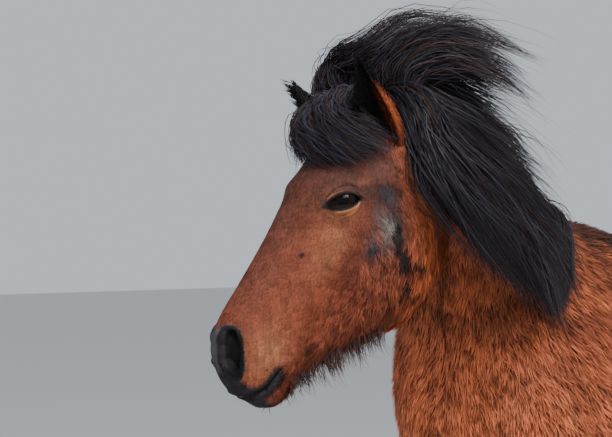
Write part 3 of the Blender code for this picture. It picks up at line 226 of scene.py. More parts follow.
# How the mane lies at four places on the crest, from the poll to the withers: at each place three
# strands, from the one blown straight out to the one that falls down the neck, and on each three points
# beyond the root as distances with the wind, upwards and towards the horse's left.
MANE_FLOW = (
    (
        ((0.041, 0.062, 0.00), (0.122, 0.070, 0.01), (0.205, 0.030, 0.02)),
        ((0.057, -0.030, 0.03), (0.122, -0.115, 0.05), (0.212, -0.205, 0.05)),
        ((0.016, -0.078, 0.06), (0.056, -0.165, 0.09), (0.171, -0.323, 0.08)),
    ),
    (
        ((0.055, 0.012, 0.00), (0.115, -0.010, 0.01), (0.170, -0.055, 0.02)),
        ((0.052, -0.055, 0.04), (0.112, -0.129, 0.06), (0.180, -0.215, 0.06)),
        ((0.034, -0.112, 0.09), (0.077, -0.206, 0.12), (0.138, -0.327, 0.11)),
    ),
    (
        ((0.045, -0.015, 0.02), (0.084, -0.072, 0.05), (0.118, -0.145, 0.07)),
        ((0.040, -0.060, 0.07), (0.076, -0.130, 0.12), (0.110, -0.205, 0.13)),
        ((0.030, -0.095, 0.12), (0.056, -0.172, 0.18), (0.080, -0.245, 0.20)),
    ),
    (
        ((0.010, -0.012, 0.03), (0.018, -0.040, 0.08), (0.026, -0.078, 0.12)),
        ((0.006, -0.032, 0.06), (0.012, -0.074, 0.13), (0.022, -0.125, 0.17)),
        ((0.002, -0.045, 0.09), (0.004, -0.095, 0.17), (0.010, -0.155, 0.21)),
    ),
)
MANE_END = 0.78
# The hair between the ears that the wind lifts and lays back over the poll, leftmost strand first, the
# same way.
TOP_FLOW = (
    ((-0.040, 0.036, 0.00), (-0.034, 0.074, 0.00), (0.014, 0.110, 0.01), (0.088, 0.140, 0.02)),
    ((-0.030, 0.052, 0.00), (0.002, 0.106, 0.00), (0.078, 0.140, 0.01), (0.192, 0.132, 0.02)),
    ((-0.012, 0.066, 0.00), (0.038, 0.114, 0.00), (0.128, 0.128, 0.01), (0.238, 0.080, 0.02)),
    ((0.012, 0.056, 0.00), (0.070, 0.084, 0.01), (0.140, 0.080, 0.02), (0.220, 0.033, 0.03)),
    ((0.030, 0.030, 0.00), (0.085, 0.036, 0.01), (0.145, 0.012, 0.02), (0.205, -0.035, 0.03)),
)
TOP_ROOTS = (
    (0.048, -0.028, -0.055),
    (0.034, -0.044, -0.030),
    (0.012, -0.070, 0.004),
    (-0.008, -0.085, 0.032),
    (-0.018, -0.094, 0.040),
)
# The forelock, in the head's frame: root, then four points forward over the brow and back across it with
# the wind, far side first.
FORELOCK_FLOW = (
    ((0.045, -0.026, -0.045), (0.080, 0.014, -0.066), (0.120, 0.012, -0.068), (0.148, 0.003, -0.050),
     (0.176, -0.002, 0.030)),
    ((0.040, -0.030, -0.030), (0.070, 0.016, -0.045), (0.108, 0.015, -0.042), (0.148, 0.005, 0.036),
     (0.160, -0.036, 0.084)),
    ((0.035, -0.034, -0.005), (0.057, 0.013, -0.022), (0.097, 0.015, -0.003), (0.130, -0.010, 0.065),
     (0.130, -0.072, 0.102)),
    ((0.035, -0.039, 0.020), (0.050, 0.002, 0.010), (0.088, 0.004, 0.031), (0.106, -0.026, 0.080),
     (0.102, -0.088, 0.102)),
    ((0.033, -0.044, 0.036), (0.040, -0.008, 0.034), (0.070, -0.008, 0.054), (0.077, -0.036, 0.085),
     (0.076, -0.094, 0.098)),
)

# The dock of the tail, and its hair: where on the dock it is rooted, how wide the roots spread, its
# length, how far it is blown back and aside, and its bulge.
DOCK = (
    (0.945, 0, 1.215),
    (1.000, -0.003, 1.185),
    (1.050, -0.010, 1.080),
    (1.075, -0.018, 0.930),
    (1.085, -0.024, 0.800),
)
TAIL_ROOTS = (0.0, 0.55)
TAIL_ROOT_SPREAD = 0.018
TAIL_LENGTH = (0.62, 0.78)
TAIL_BLOWN = (0.10, -0.05)
TAIL_BULGE = 0.055

# Long hair: guide paths, strands round each, how far they spread, the share that strays, how far they
# wave, their width, the way they face, the share that is brown, how bright they are (on the forelock and
# the top hair partly a painted sheen), and the shortest one as a share.
Hair = namedtuple("Hair", "guides strands spread stray wave width facing brown glow shortest")
HAIR = {
    "mane": Hair(250, 37, 0.0085, 0.12, 0.005, 0.0015, (-0.7, -0.7, 0.1), 0.12, 1.15, 0.84),
    "mane_wisps": Hair(0, 7, 0.0070, 0.45, 0.007, 0.0012, (-0.7, -0.7, 0.1), 0.12, 1.0, 0.70),
    "top_hair": Hair(66, 42, 0.0060, 0.24, 0.005, 0.0014, (-0.6, -0.7, 0.2), 0.20, 1.7, 0.70),
    "forelock": Hair(80, 36, 0.0055, 0.16, 0.004, 0.0013, (-0.7, -0.5, 0.5), 0.15, 2.0, 0.70),
    "beard": Hair(120, 8, 0.0050, 0.35, 0.002, 0.0009, (-0.5, -0.8, 0.1), 0.90, 2.4, 0.70),
    "tail_hair": Hair(120, 36, 0.0100, 0.12, 0.008, 0.0026, (0.6, -0.6, 0.1), 0.12, 1.0, 0.70),
}
# The share of long hairs that are bluish black, a painted sheen of the sky on the black hair.
SKY_SHEEN_SHARE = 0.35
WIDTHS = (0.6, 1.3)
GLOWS = (0.7, 1.35)
FACING_STRAY = 0.45
GUIDE_CLEAR = 0.008
STRAND_CLEAR = 0.004
PATH_STEPS = 11
SHORT_PATH_STEPS = 7
TAIL_STEPS = 12
WISP_LAYER = 0.42
# Where the points of a lash, a feeler or a hair of the beard lie along it.
SHARES = (0, 0.35, 0.7, 1.0)
LASH_WIDTH = 0.0009
LASHES_PER_EYE = 46
FEELERS = 60

BODY_VOXEL = 0.0122
BODY_SMOOTHING = 7
TRUNK_RINGS, TRUNK_SIDES = 100, 72
LEG_RINGS, LEG_SIDES = 80, 36
HEAD_RINGS, HEAD_SIDES = 190, 156
EYE_RINGS, EYE_SIDES = 40, 64
EAR_SIDES = 40
SEAM_REACH = 0.028
# How far the skin lies below the solids' surface, for the coat to fill.
COAT_DEPTH = {"body": 0.010, "head": 0.0020, "jaw": 0.0060}
SEED = 11
DRAWN = 1.0
# How the tufts vary: clumps, how far their roots lie in the skin, turn, length, height, and the dark
# ones' share.
CLUMP = 0.013
ROOT_DEPTH = 0.0008
TUFT_TURN = 0.13
TUFT_LENGTHS = (0.70, 1.15)
TUFT_HEIGHTS = (0.5, 1.3)
DARK_TUFTS = 0.16
EAR_DENSITY = 260000.0
EAR_FUR_WIDTH = 0.0015
TUFT_PIECE = 180000
STRAND_PIECE = 190000
# Each tuft and strand takes a patch of this size on the unwrap.
PATCH = 0.003
TUFT_CORNERS = np.array(((-0.5, -0.5), (0.5, -0.5), (-0.5, 0.0), (0.5, 0.0), (0.0, 0.5)))
TUFT_FACES = np.array(((0, 1, 3), (0, 3, 2), (2, 3, 4)))

RED_BROWN = srgb(117, 58, 38)
BODY_BROWN = srgb(164, 88, 57)
RUST = srgb(168, 86, 50)
TAN = srgb(148, 96, 66)
DARK_RED = srgb(80, 34, 19)
DARK_BROWN = srgb(48, 26, 20)
GREY = srgb(98, 91, 87)
GREY_BLACK = srgb(44, 42, 46)
BLACK = srgb(17, 14, 15)
CHARCOAL = srgb(34, 31, 35)
LIP_BLACK = srgb(24, 22, 25)
# Near black: the pupils' own black, and painted shade inside the nostrils.
INSIDE_BLACK = srgb(6, 5, 6)
EYE_BROWN = srgb(27, 13, 11)
EYE_RIM = srgb(14, 10, 11)
SKIN_GREY = srgb(76, 54, 47)
FACE_GREY = srgb(72, 45, 39)
# Grey of the muzzle's middle: partly its own colour, partly a painted sheen.
NOSE_GREY_AND_SHEEN = srgb(80, 75, 78)
WITHERS_DARK = srgb(34, 14, 8)
CREAM = srgb(176, 142, 108)
ORANGE_TAN = srgb(168, 98, 56)
SHOULDER_TAN = srgb(186, 112, 70)
HAIR_BLACK = srgb(12, 9, 11)
# Bluish black: a painted sheen of the sky on black hair.
HAIR_SKY_SHEEN = srgb(26, 25, 34)
HAIR_BROWN = srgb(35, 23, 21)
HORN = srgb(46, 40, 37)
FLOOR_GREY = srgb(206, 206, 204)

# Rules for the coat, laid on in turn. Each has a name, a value and a strength, which fades by what
# follows: a measure with the values where the fade starts and is full, a pair of measures with a soft
# oval's middle, reaches and angle, or a measure that is a share itself. The measures are named in places
# and measures below.
BODY_TONES = (
    ("back", DARK_RED, 0.92, ("ragged_z", 1.22, 1.31), ("x", -0.24, -0.12)),
    ("withers", WITHERS_DARK, 0.92, ("uneven_z", 1.30, 1.35), ("x", -0.24, -0.12), ("x", 0.40, 0.10)),
    ("shoulder", SHOULDER_TAN, 0.85, ("side", 0.02, 1.235, 0.15, 0.045, -28), ("grain",)),
    ("shoulder_edge", DARK_RED, 0.50, ("side", -0.20, 1.06, 0.20, 0.035, 62), ("body_uneven", -0.5, 0.3)),
    ("neck_side", DARK_RED, 0.75, ("side", -0.30, 1.26, 0.10, 0.16, 0), ("body_uneven", -0.7, 0.1)),
    ("flank", TAN, 0.30, ("z", 0.95, 0.75), ("z", 0.60, 0.72)),
    ("dark_clouds", DARK_RED, 0.24, ("patchy", 0.05, 0.8)),
    ("rusty_clouds", RUST, 0.40, ("patchy", -0.1, -0.8)),
    ("throat", DARK_BROWN, 0.75, ("side", -0.47, 1.26, 0.05, 0.06, 0), ("speckled", -0.4, 0.4)),
    ("upper_legs", DARK_BROWN, 0.6, ("z", 0.66, 0.50)),
    ("lower_legs", BLACK, 0.94, ("ragged_z", 0.50, 0.40)),
)
# Soft oval patches on each side of the face, laid on in turn: colour, strength, middle u and v, reach
# along and across, angle, and how far the coat's own unevenness breaks the patch up.
FACE_PATCHES = (
    ("forehead", FACE_GREY, 0.75, 0.165, -0.012, 0.100, 0.040, 0, 0.3),
    ("nose_bridge", FACE_GREY, 0.50, 0.330, -0.002, 0.110, 0.030, 0, 0.3),
    ("brow", FACE_GREY, 0.70, 0.166, -0.050, 0.040, 0.026, -40, 0.3),
    ("under_eye", TAN, 0.50, 0.258, -0.080, 0.050, 0.024, -12, 0.3),
    ("muzzle", TAN, 0.75, 0.462, -0.078, 0.038, 0.030, 10, 0.2),
    # A dark band on the cheek below the face crest: painted shade of the crest's relief.
    ("crest_shade", DARK_RED, 0.70, 0.285, -0.122, 0.060, 0.017, -15, 0.5),
    ("temple", FACE_GREY, 0.80, 0.132, -0.092, 0.045, 0.034, -50, 0.4),
    ("behind_eye", DARK_BROWN, 0.60, 0.165, -0.116, 0.032, 0.022, -45, 0.5),
    ("ear_foot", TAN, 0.55, 0.085, -0.135, 0.050, 0.012, -65, 0.7),
    ("rear_cheek", RUST, 0.85, 0.130, -0.185, 0.075, 0.030, -50, 0.4),
    ("rear_jowl", RUST, 0.80, 0.200, -0.245, 0.090, 0.026, -20, 0.4),
    ("jaw_low", DARK_RED, 0.55, 0.330, -0.205, 0.070, 0.022, 32, 0.6),
    ("patch_dark", GREY_BLACK, 0.75, 0.198, -0.138, 0.044, 0.026, -45, 0.6),
    ("patch_low", GREY_BLACK, 0.90, 0.240, -0.134, 0.022, 0.014, -20, 0.6),
    ("patch_grey", GREY, 0.85, 0.203, -0.140, 0.023, 0.015, -55, 0.5),
    ("nose_spot", BLACK, 1.00, 0.301, -0.052, 0.0045, 0.0035, 0, 0.0),
    ("jaw_spot", BLACK, 0.95, 0.420, -0.139, 0.0080, 0.0060, 30, 0.2),
    ("speck_high", GREY_BLACK, 0.90, 0.074, -0.180, 0.010, 0.004, -60, 0.8),
    ("speck_middle", GREY_BLACK, 0.90, 0.114, -0.185, 0.012, 0.004, -60, 0.8),
    ("speck_low", GREY_BLACK, 0.85, 0.143, -0.214, 0.014, 0.005, -60, 0.8),
)
# Streaks on each side of the face: colour, strength, half width, unevenness, and the points they run
# through.
FACE_STREAKS = (
    # A soft dark streak running back from the eye's rear corner: painted shadow.
    ("painted_shadow_streak", DARK_BROWN, 0.70, 0.0120, 0.6,
     ((0.184, -0.078), (0.172, -0.092), (0.160, -0.111), (0.150, -0.125))),
    ("ring_top", GREY_BLACK, 0.80, 0.0090, 0.8, ((0.160, -0.112), (0.172, -0.131), (0.186, -0.148))),
    ("ring", BLACK, 0.90, 0.0070, 1.1, ((0.186, -0.148), (0.197, -0.158), (0.212, -0.168), (0.222, -0.182))),
    ("ring_aside", BLACK, 0.90, 0.0050, 1.3, ((0.222, -0.182), (0.215, -0.202), (0.206, -0.223))),
    ("ring_foot", BLACK, 0.90, 0.0050, 1.2, ((0.222, -0.182), (0.235, -0.203), (0.244, -0.220))),
    ("tear", BLACK, 1.00, 0.0068, 0.5, ((0.244, -0.220), (0.250, -0.242), (0.248, -0.256))),
)
# The muzzle's bare skin, as parts that add up: round the nostril, at its front, and between the nostrils.
NOSE = (
    ("round_nostril", 1.0, ("from_nostril", 0.0175, 0.0125)),
    ("front", 1.0, ("slant", 0.488, 0.502), ("v", -0.10, -0.06)),
    ("between", 1.0, ("u", 0.462, 0.474), ("aside", 0.034, 0.024), ("v", -0.05, -0.03)),
)
FACE_TONES = (
    ("dark_clouds", DARK_RED, 0.45, ("patchy", 0.15, 0.9)),
    ("chin", DARK_BROWN, 0.60, ("face", 0.505, -0.150, 0.030, 0.014, 0)),
    # The middle of the muzzle stays grey and its sides turn charcoal: partly the skin's own tones, partly a
    # painted sheen along its front.
    ("nose", NOSE_GREY_AND_SHEEN, 1.0, ("nose",)),
    ("nose_sides", CHARCOAL, 1.0, ("nose",), ("aside", 0.012, 0.024)),
    # Near black inside the nostril: painted shade deep in its hollow.
    ("nostril", INSIDE_BLACK, 1.0, ("from_nostril_dark", 0.0125, 0.0085)),
    ("lips", LIP_BLACK, 1.0, ("from_mouth", 0.017, 0.008), ("u", 0.455, 0.475)),
    ("lip_end", CHARCOAL, 1.0, ("u", 0.512, 0.526)),
    ("lid", SKIN_GREY, 0.70, ("b", 0.004, 0.012), ("over_crease", 0.004, -0.002), ("lids",)),
    ("lid_light", TAN, 1.0, ("light_grain",), ("from_lid_light", 0.0026, 0.0010), ("lids",)),
    ("lid_rust", RUST, 0.45, ("eye", 0.016, 0.0125, 0.008, 0.0040, 0), ("at_eye",)),
    # Dark lines along the upper lid's two creases: painted shade in these folds.
    ("crease", DARK_BROWN, 0.85, ("from_crease", 0.0026, 0.0008), ("lids",)),
    ("second_crease", DARK_BROWN, 0.55, ("from_second", 0.0016, 0.0005), ("lids",)),
    ("under_lid", ORANGE_TAN, 1.0, ("strong_grain",), ("from_under_lid", 0.0042, 0.0016),
     ("off_middle", 0.028, 0.014), ("at_eye",)),
    # A grey line along the fold under the eye: painted shade in the fold.
    ("under_fold", SKIN_GREY, 0.70, ("from_under_fold", 0.0026, 0.0008), ("lids",)),
    ("rear_corner", GREY_BLACK, 0.80, ("eye", 0.0300, 0.0040, 0.0050, 0.0100, 0), ("at_eye",)),
    ("rim", BLACK, 0.97, ("from_rim", 0.0062, 0.0030), ("past_ends", 0.0040, 0.0), ("at_eye",)),
    ("corners", BLACK, 0.95, ("corners",), ("at_eye",)),
    ("tear_line", CREAM, 0.85, ("from_tear_line", 0.0016, 0.0006), ("a", 0.020, 0.008),
     ("a", -0.030, -0.022), ("at_eye",)),
    ("inside", BLACK, 1.0, ("opening",)),
)
# Ranges of x: where the hind legs start, where the belly's fur is long, and where it lies back. HEELS are
# the middles of the lower legs, hind and fore, and FEATHER the height of their longest hair.
HIND_FROM = 0.4
BELLY_FUR = (0.0, 0.62)
BELLY_BACK = (0.10, 0.60)
HEELS = (0.93, -0.165)
FEATHER = 0.115
# The coat's make, as amounts that add up: tufts on a square metre, length, width, and the tip's height as a
# share of the length.
BODY_DENSITY = (("body", 36000), ("neck", 92000, ("x", 0.0, -0.15)), ("legs", 60000, ("z", 0.7, 0.45)))
BODY_LENGTH = (("body", 0.040), ("neck", -0.011, ("x", 0.0, -0.15)))
LEG_LENGTH = 0.016
LOW_LENGTH = (
    ("belly", 0.012, ("z", 0.86, 0.74), ("z", 0.60, 0.72), ("belly",)),
    ("feather", 0.030, ("off_heel", 0.06, 0.02), ("heel",)),
)
BODY_WIDTH = (("body", 0.0048), ("neck", -0.0025, ("x", 0.0, -0.15)), ("legs", -0.0022, ("z", 0.7, 0.4)))
BODY_TIP = (("body", 0.20), ("neck", 0.08, ("x", 0.0, -0.15)))
LEAST_TIP = 0.002
FACE_DENSITY = (
    ("face", 480000),
    ("long_fur", -250000, ("length", 0.010, 0.026)),
    ("muzzle", 250000, ("u", 0.42, 0.47)),
)
FACE_LENGTH = (
    ("face", 0.0085),
    ("cheek", 0.012, ("v", -0.09, -0.17)),
    ("jowl", 0.016, ("v", -0.17, -0.25)),
    ("jaw", 0.014, ("above_jaw", 0.045, 0.010), ("u", 0.24, 0.30), ("u", 0.52, 0.47)),
    ("ear_foot", 0.012, ("u", 0.16, 0.06), ("v", -0.05, -0.10)),
    ("muzzle", -0.0040, ("u", 0.41, 0.47), ("v", -0.12, -0.09)),
)
FACE_WIDTH = 0.0010
# By how much the fur is shorter at the eye, and how far round it.
NEAR_EYE_SHORTER = 0.62
NEAR_EYE = (0.040, 0.036)
# Which way the coat lies, in turn: on the body and, in the head's frame, on the head.
BODY_LIE = (
    ("flank", (1.0, 0, -0.70), 1.0, ("z", 1.30, 1.00)),
    ("neck", (0.55, 0, -0.85), 1.0, ("x", -0.02, -0.20)),
    ("throat", (0.05, 0.10, -1.0), 1.0, ("throat_x", -0.28, -0.42)),
    ("rear", (0.15, 0, -1.0), 1.0, ("x", 0.80, 0.98)),
    ("legs", (0.08, 0, -1.0), 1.0, ("z", 0.85, 0.62)),
    ("belly", (1.0, 0, -0.1), 1.0, ("z", 0.80, 0.70), ("under_belly",)),
)
CHEEK_LIE = ("cheek", 1.0, ("v", -0.05, -0.13), ("u", 0.33, 0.22))
JAW_LIE = ("jaw", 1.0, ("v", -0.15, -0.21))

CAMERA_PLACE = np.array((-2.158, -1.336, 1.332))
CAMERA_UP_DEG = 1.34
CAMERA_TURN_DEG = -46.0
CAMERA_LENS_MM = 74.1
CAMERA_SENSOR_MM = 36.0
# Lamps: place, size, power in watts, colour, and whether they mirror in the eyes.
LAMPS = (
    ("key", (-2.2, -2.6, 4.4), 2.0, 330, (1.0, 0.97, 0.93), True),
    ("fill", (-3.4, 1.8, 2.0), 3.0, 45, (0.92, 0.96, 1.0), False),
    ("back", (2.6, 1.6, 3.4), 2.5, 100, (1.0, 1.0, 1.0), False),
)
LAMPS_AIM = Vector((-0.2, 0, 1.0))
FLOOR_HALF = 30.0
SKY = (0.80, 0.85, 0.92, 1)
SKY_STRENGTH = 0.75


def add_object(name, data):
    obj = bpy.data.objects.new(name, data)
    bpy.context.scene.collection.objects.link(obj)
    return obj


def face_out(data):
    """Turns all the faces of a closed mesh outwards."""
    bm = bmesh.new()
    bm.from_mesh(data)
    bmesh.ops.recalc_face_normals(bm, faces=bm.faces)
    if bm.calc_volume(signed=True) < 0:
        bmesh.ops.reverse_faces(bm, faces=bm.faces)
    bm.to_mesh(data)
    bm.free()


def loft(name, rings):
    """A closed solid through rings of points, with a point at the middle of each end."""
    count, sides = len(rings), len(rings[0])
    points = [p for ring in rings for p in ring]
    points += [np.mean(rings[0], axis=0), np.mean(rings[-1], axis=0)]
    faces = []
    for i in range(count - 1):
        for j in range(sides):
            k = (j + 1) % sides
            faces.append((i * sides + j, i * sides + k, (i + 1) * sides + k, (i + 1) * sides + j))
    for j in range(sides):
        k = (j + 1) % sides
        faces.append((count * sides, k, j))
        faces.append((count * sides + 1, (count - 1) * sides + j, (count - 1) * sides + k))
    data = bpy.data.meshes.new(name)
    data.from_pydata([tuple(p) for p in points], [], faces)
    face_out(data)
    return add_object(name, data)


def read_array(items, key, width, kind=float):
    values = np.empty(len(items) * width, dtype=kind)
    items.foreach_get(key, values)
    return values.reshape(-1, width)


def mesh_points(data):
    return read_array(data.vertices, "co", 3)


def mesh_normals(data):
    return read_array(data.vertices, "normal", 3)


def mesh_triangles(data):
    data.calc_loop_triangles()
    return read_array(data.loop_triangles, "vertices", 3, np.int32)


def flat(values, kind=np.float32):
    return np.ascontiguousarray(values, dtype=kind).reshape(-1)


def place_points(data, points):
    data.vertices.foreach_set("co", flat(points))
    data.update()


def paint(data, colours):
    """Gives each point of a mesh its colour."""
    layer = data.color_attributes.new("coat_colour", "FLOAT_COLOR", "POINT")
    full = np.ones((len(colours), 4), dtype=np.float32)
    full[:, :3] = colours
    layer.data.foreach_set("color", full.reshape(-1))


def shade_smooth(data):
    data.polygons.foreach_set("use_smooth", np.full(len(data.polygons), True))


def fast_mesh(name, points, triangles, colours=None, uv=None):
    """A mesh object made straight from arrays, with a colour and a UV for each point."""
    data = bpy.data.meshes.new(name)
    data.vertices.add(len(points))
    data.vertices.foreach_set("co", flat(points))
    data.loops.add(triangles.size)
    data.loops.foreach_set("vertex_index", flat(triangles, np.int32))
    data.polygons.add(len(triangles))
    data.polygons.foreach_set("loop_start", np.arange(0, triangles.size, 3, dtype=np.int32))
    shade_smooth(data)
    data.update(calc_edges=True)
    if colours is not None:
        paint(data, colours)
    if uv is not None:
        layer = data.uv_layers.new(name="OFBake")
        layer.uv.foreach_set("vector", flat(uv[triangles.reshape(-1)]))
    return add_object(name, data)


def apply_modifiers(obj):
    """Replaces the object's mesh by what its modifiers make of it."""
    bpy.context.view_layer.update()
    graph = bpy.context.evaluated_depsgraph_get()
    made = bpy.data.meshes.new_from_object(obj.evaluated_get(graph))
    obj.modifiers.clear()
    obj.data = made


def joined(objects, name):
    """One object that holds the meshes of several, which go."""
    bm = bmesh.new()
    for obj in objects:
        bm.from_mesh(obj.data)
        bpy.data.objects.remove(obj)
    data = bpy.data.meshes.new(name)
    bm.to_mesh(data)
    bm.free()
    return add_object(name, data)


def surface_of(obj):
    """The object's surface, to find the nearest place on it."""
    bm = bmesh.new()
    bm.from_mesh(obj.data)
    tree = BVHTree.FromBMesh(bm)
    bm.free()
    return tree


def distances(tree, points):
    return np.array([tree.find_nearest(p)[3] for p in points.tolist()])


def smooth(keys, values, at):
    """Values read from a smooth curve through the points (keys, values)."""
    keys = np.asarray(keys, float)
    values = np.asarray(values, float)
    at = np.asarray(at, float)
    slopes = np.gradient(values, keys, axis=0)
    i = np.clip(np.searchsorted(keys, at, side="right") - 1, 0, len(keys) - 2)
    span = keys[i + 1] - keys[i]
    t = (at - keys[i]) / span
    shape = (-1,) + (1,) * (values.ndim - 1)
    t, span = t.reshape(shape), span.reshape(shape)
    start, end = values[i], values[i + 1]
    leave, reach = slopes[i] * span, slopes[i + 1] * span
    a = 2 * t**3 - 3 * t**2 + 1
    b = t**3 - 2 * t**2 + t
    c = -2 * t**3 + 3 * t**2
    d = t**3 - t**2
    return a * start + b * leave + c * end + d * reach


def smooth_rows(table, count):
    """A table's numbers, without the names of its rows, read smoothly at even places."""
    rows = np.array([row[1:] for row in table], float)
    return smooth(np.arange(len(rows)), rows, np.linspace(0, len(rows) - 1, count))


def smooth_paths(paths, steps):
    """Paths of a few points as smooth paths of many, for all paths at once."""
    count = paths.shape[1]
    fine = smooth(np.arange(count), np.moveaxis(paths, 1, 0), np.linspace(0, count - 1, steps))
    return np.moveaxis(fine, 0, 1)


def between(table, place):
    """Rows of a table read between its rows, at places from 0 to 1 along it."""
    table = np.array(table, float)
    place = place * (len(table) - 1)
    k = np.minimum(place.astype(int), len(table) - 2)
    share = (place - k).reshape((-1,) + (1,) * (table.ndim - 1))
    return table[k] * (1 - share) + table[k + 1] * share


def unit(vectors):
    return vectors / np.maximum(np.linalg.norm(vectors, axis=-1, keepdims=True), 1e-9)


def across_only(vectors, axis):
    """What is left of the vectors across an axis of length 1."""
    return vectors - axis * (vectors * axis).sum(axis=-1, keepdims=True)


def step(value, low, high):
    """0 below low, 1 above high, and a smooth rise between; high may be the smaller."""
    t = np.clip((value - low) / (high - low), 0, 1)
    return t * t * (3 - 2 * t)


def ridge(away, width):
    """1 on a line and falling off on both sides of it."""
    return np.exp(-((away / width) ** 2))


def spot(u, v, at_u, at_v, along, across, angle=0.0):
    """A soft oval patch, 1 in its middle."""
    cos, sin = math.cos(math.radians(angle)), math.sin(math.radians(angle))
    a = (u - at_u) * cos + (v - at_v) * sin
    b = -(u - at_u) * sin + (v - at_v) * cos
    return np.exp(-((a / along) ** 2) - (b / across) ** 2)


def blend(colour, other, share):
    share = np.clip(share, 0, 1)[:, None]
    return colour * (1 - share) + np.asarray(other) * share


def faded(amount, fades, at):
    """An amount faded as a rule says, by the measures in at."""
    for name, *numbers in fades:
        if not numbers:
            amount = amount * at[name]
        elif len(numbers) == 2:
            amount = amount * step(at[name], *numbers)
        else:
            amount = amount * spot(*at[name], *numbers)
    return amount


def added(rules, at):
    """The sum of the rules' faded amounts."""
    total = 0.0
    for _, amount, *fades in rules:
        total = total + faded(amount, fades, at)
    return total


def laid_on(start, rules, at):
    """A colour or a direction for each point, with what the rules lay over it in turn."""
    for _, value, strength, *fades in rules:
        start = blend(start, value, faded(strength, fades, at))
    return start


def waves(points, size, seed):
    """Smooth noise from -1 to 1 with lumps of about the given size."""
    rng = np.random.default_rng(seed)
    total = np.zeros(len(points))
    for octave in range(3):
        for _ in range(4):
            way = rng.normal(size=3)
            way *= 2 * math.pi / (size * 2 * np.linalg.norm(way)) * 1.7**octave
            total += np.sin(points @ way + rng.uniform(0, 2 * math.pi)) / (4 * 1.5**octave)
    return np.clip(total, -1, 1)


def cell_random(points, size, seed):
    """A random value from 0 to 1 for each small cell of space, the same for all points in it."""
    cells = np.floor(points / size).astype(np.int64)
    key = cells[:, 0] * 73856093 ^ cells[:, 1] * 19349663 ^ cells[:, 2] * 83492791 ^ seed * 2654435761
    return ((key * 1103515245 + 12345) >> 7 & 0xFFFF) / 65535.0


def path_distance(u, v, path):
    """How far each point is from a line through the path's points, and how far along it that place is."""
    path = np.asarray(path, float)
    nearest = np.full(u.shape, 9.0)
    along = np.zeros(u.shape)
    for i, (start, end) in enumerate(zip(path[:-1], path[1:])):
        run = end - start
        t = ((u - start[0]) * run[0] + (v - start[1]) * run[1]) / (run @ run)
        t = np.clip(t, 0, 1)
        away = np.hypot(u - start[0] - t * run[0], v - start[1] - t * run[1])
        along = np.where(away < nearest, i + t, along)
        nearest = np.minimum(away, nearest)
    return nearest, along


def power(value, square):
    """A circle's cosine or sine bent towards a square for an exponent over 2."""
    return np.sign(value) * np.abs(value) ** (2 / square)


def turns(sides):
    return np.linspace(0, 2 * math.pi, sides, endpoint=False)


def trunk_rings(count, sides):
    """Rings of the trunk and neck, each in the plane of its top and bottom points."""
    rings = []
    for top_x, top_z, bottom_x, bottom_z, width, pear, square, aside in smooth_rows(TRUNK, count):
        top = np.array((top_x, 0, top_z))
        bottom = np.array((bottom_x, 0, bottom_z))
        rise = power(np.cos(turns(sides)), square)
        out = width * power(np.sin(turns(sides)), square) * (1 - pear * rise)
        ring = (top + bottom) / 2 + rise[:, None] * (top - bottom) / 2
        ring[:, 1] += out + aside
        rings.append(ring)
    return rings


def leg_rings(end, name, count, sides):
    """Level rings of one leg, fore or hind. A stride moves it along the body, more the lower it is."""
    table = FORELEG if end == "fore" else HINDLEG
    stride, start = STRIDE[f"{end}_{name}"], STRIDE_FROM[end]
    side = -1 if name == "left" else 1
    rings = []
    for z, x, depth, y, width in smooth_rows(table, count):
        reach = stride * max(0.0, start - z) / start
        ring = np.empty((sides, 3))
        ring[:, 0] = x + reach + depth * power(np.cos(turns(sides)), LEG_SQUARE)
        ring[:, 1] = side * (y + width * power(np.sin(turns(sides)), LEG_SQUARE))
        ring[:, 2] = z
        rings.append(ring)
    return rings


def head_axes():
    """The directions of the head's u, v and w."""
    heading = math.radians(FACES_HEADING_DEG - HEAD_TURN_DEG)
    pitch = math.radians(HEAD_PITCH_DEG)
    ahead = np.array((math.cos(heading), math.sin(heading), 0.0))
    along = math.cos(pitch) * ahead - math.sin(pitch) * UP
    out = math.sin(pitch) * ahead + math.cos(pitch) * UP
    return np.array((along, out, np.cross(UP, ahead)))


def eye_axes():
    """The left eye's directions in the head's frame: along the slit, up across it, and out of the head."""
    out = np.array(EYE_FACES) / np.linalg.norm(EYE_FACES)
    slit = np.array((*EYE_SLANT, 0.0))
    slit -= out * (slit @ out)
    slit /= np.linalg.norm(slit)
    above = np.cross(out, slit)
    return np.array((slit, above if above[0] < 0 else -above, out))


HEAD_AXES = head_axes()
EYE_AXES = eye_axes()


def from_head(points):
    """Points of the head's frame moved to the model's frame."""
    return HEAD_ORIGIN + np.asarray(points, float) @ HEAD_AXES


def to_head(points):
    """Points of the model's frame as u, v and w of the head."""
    return (points - HEAD_ORIGIN) @ HEAD_AXES.T


def to_eye(u, v, w, level):
    """How far points lie along the eye's slit, above it and out of the head, for the left side."""
    return ((np.stack([u, v, w], axis=1) - (*EYE_MIDDLE, level)) @ EYE_AXES.T).T


def from_eye(points, level):
    return points @ EYE_AXES + (*EYE_MIDDLE, level)


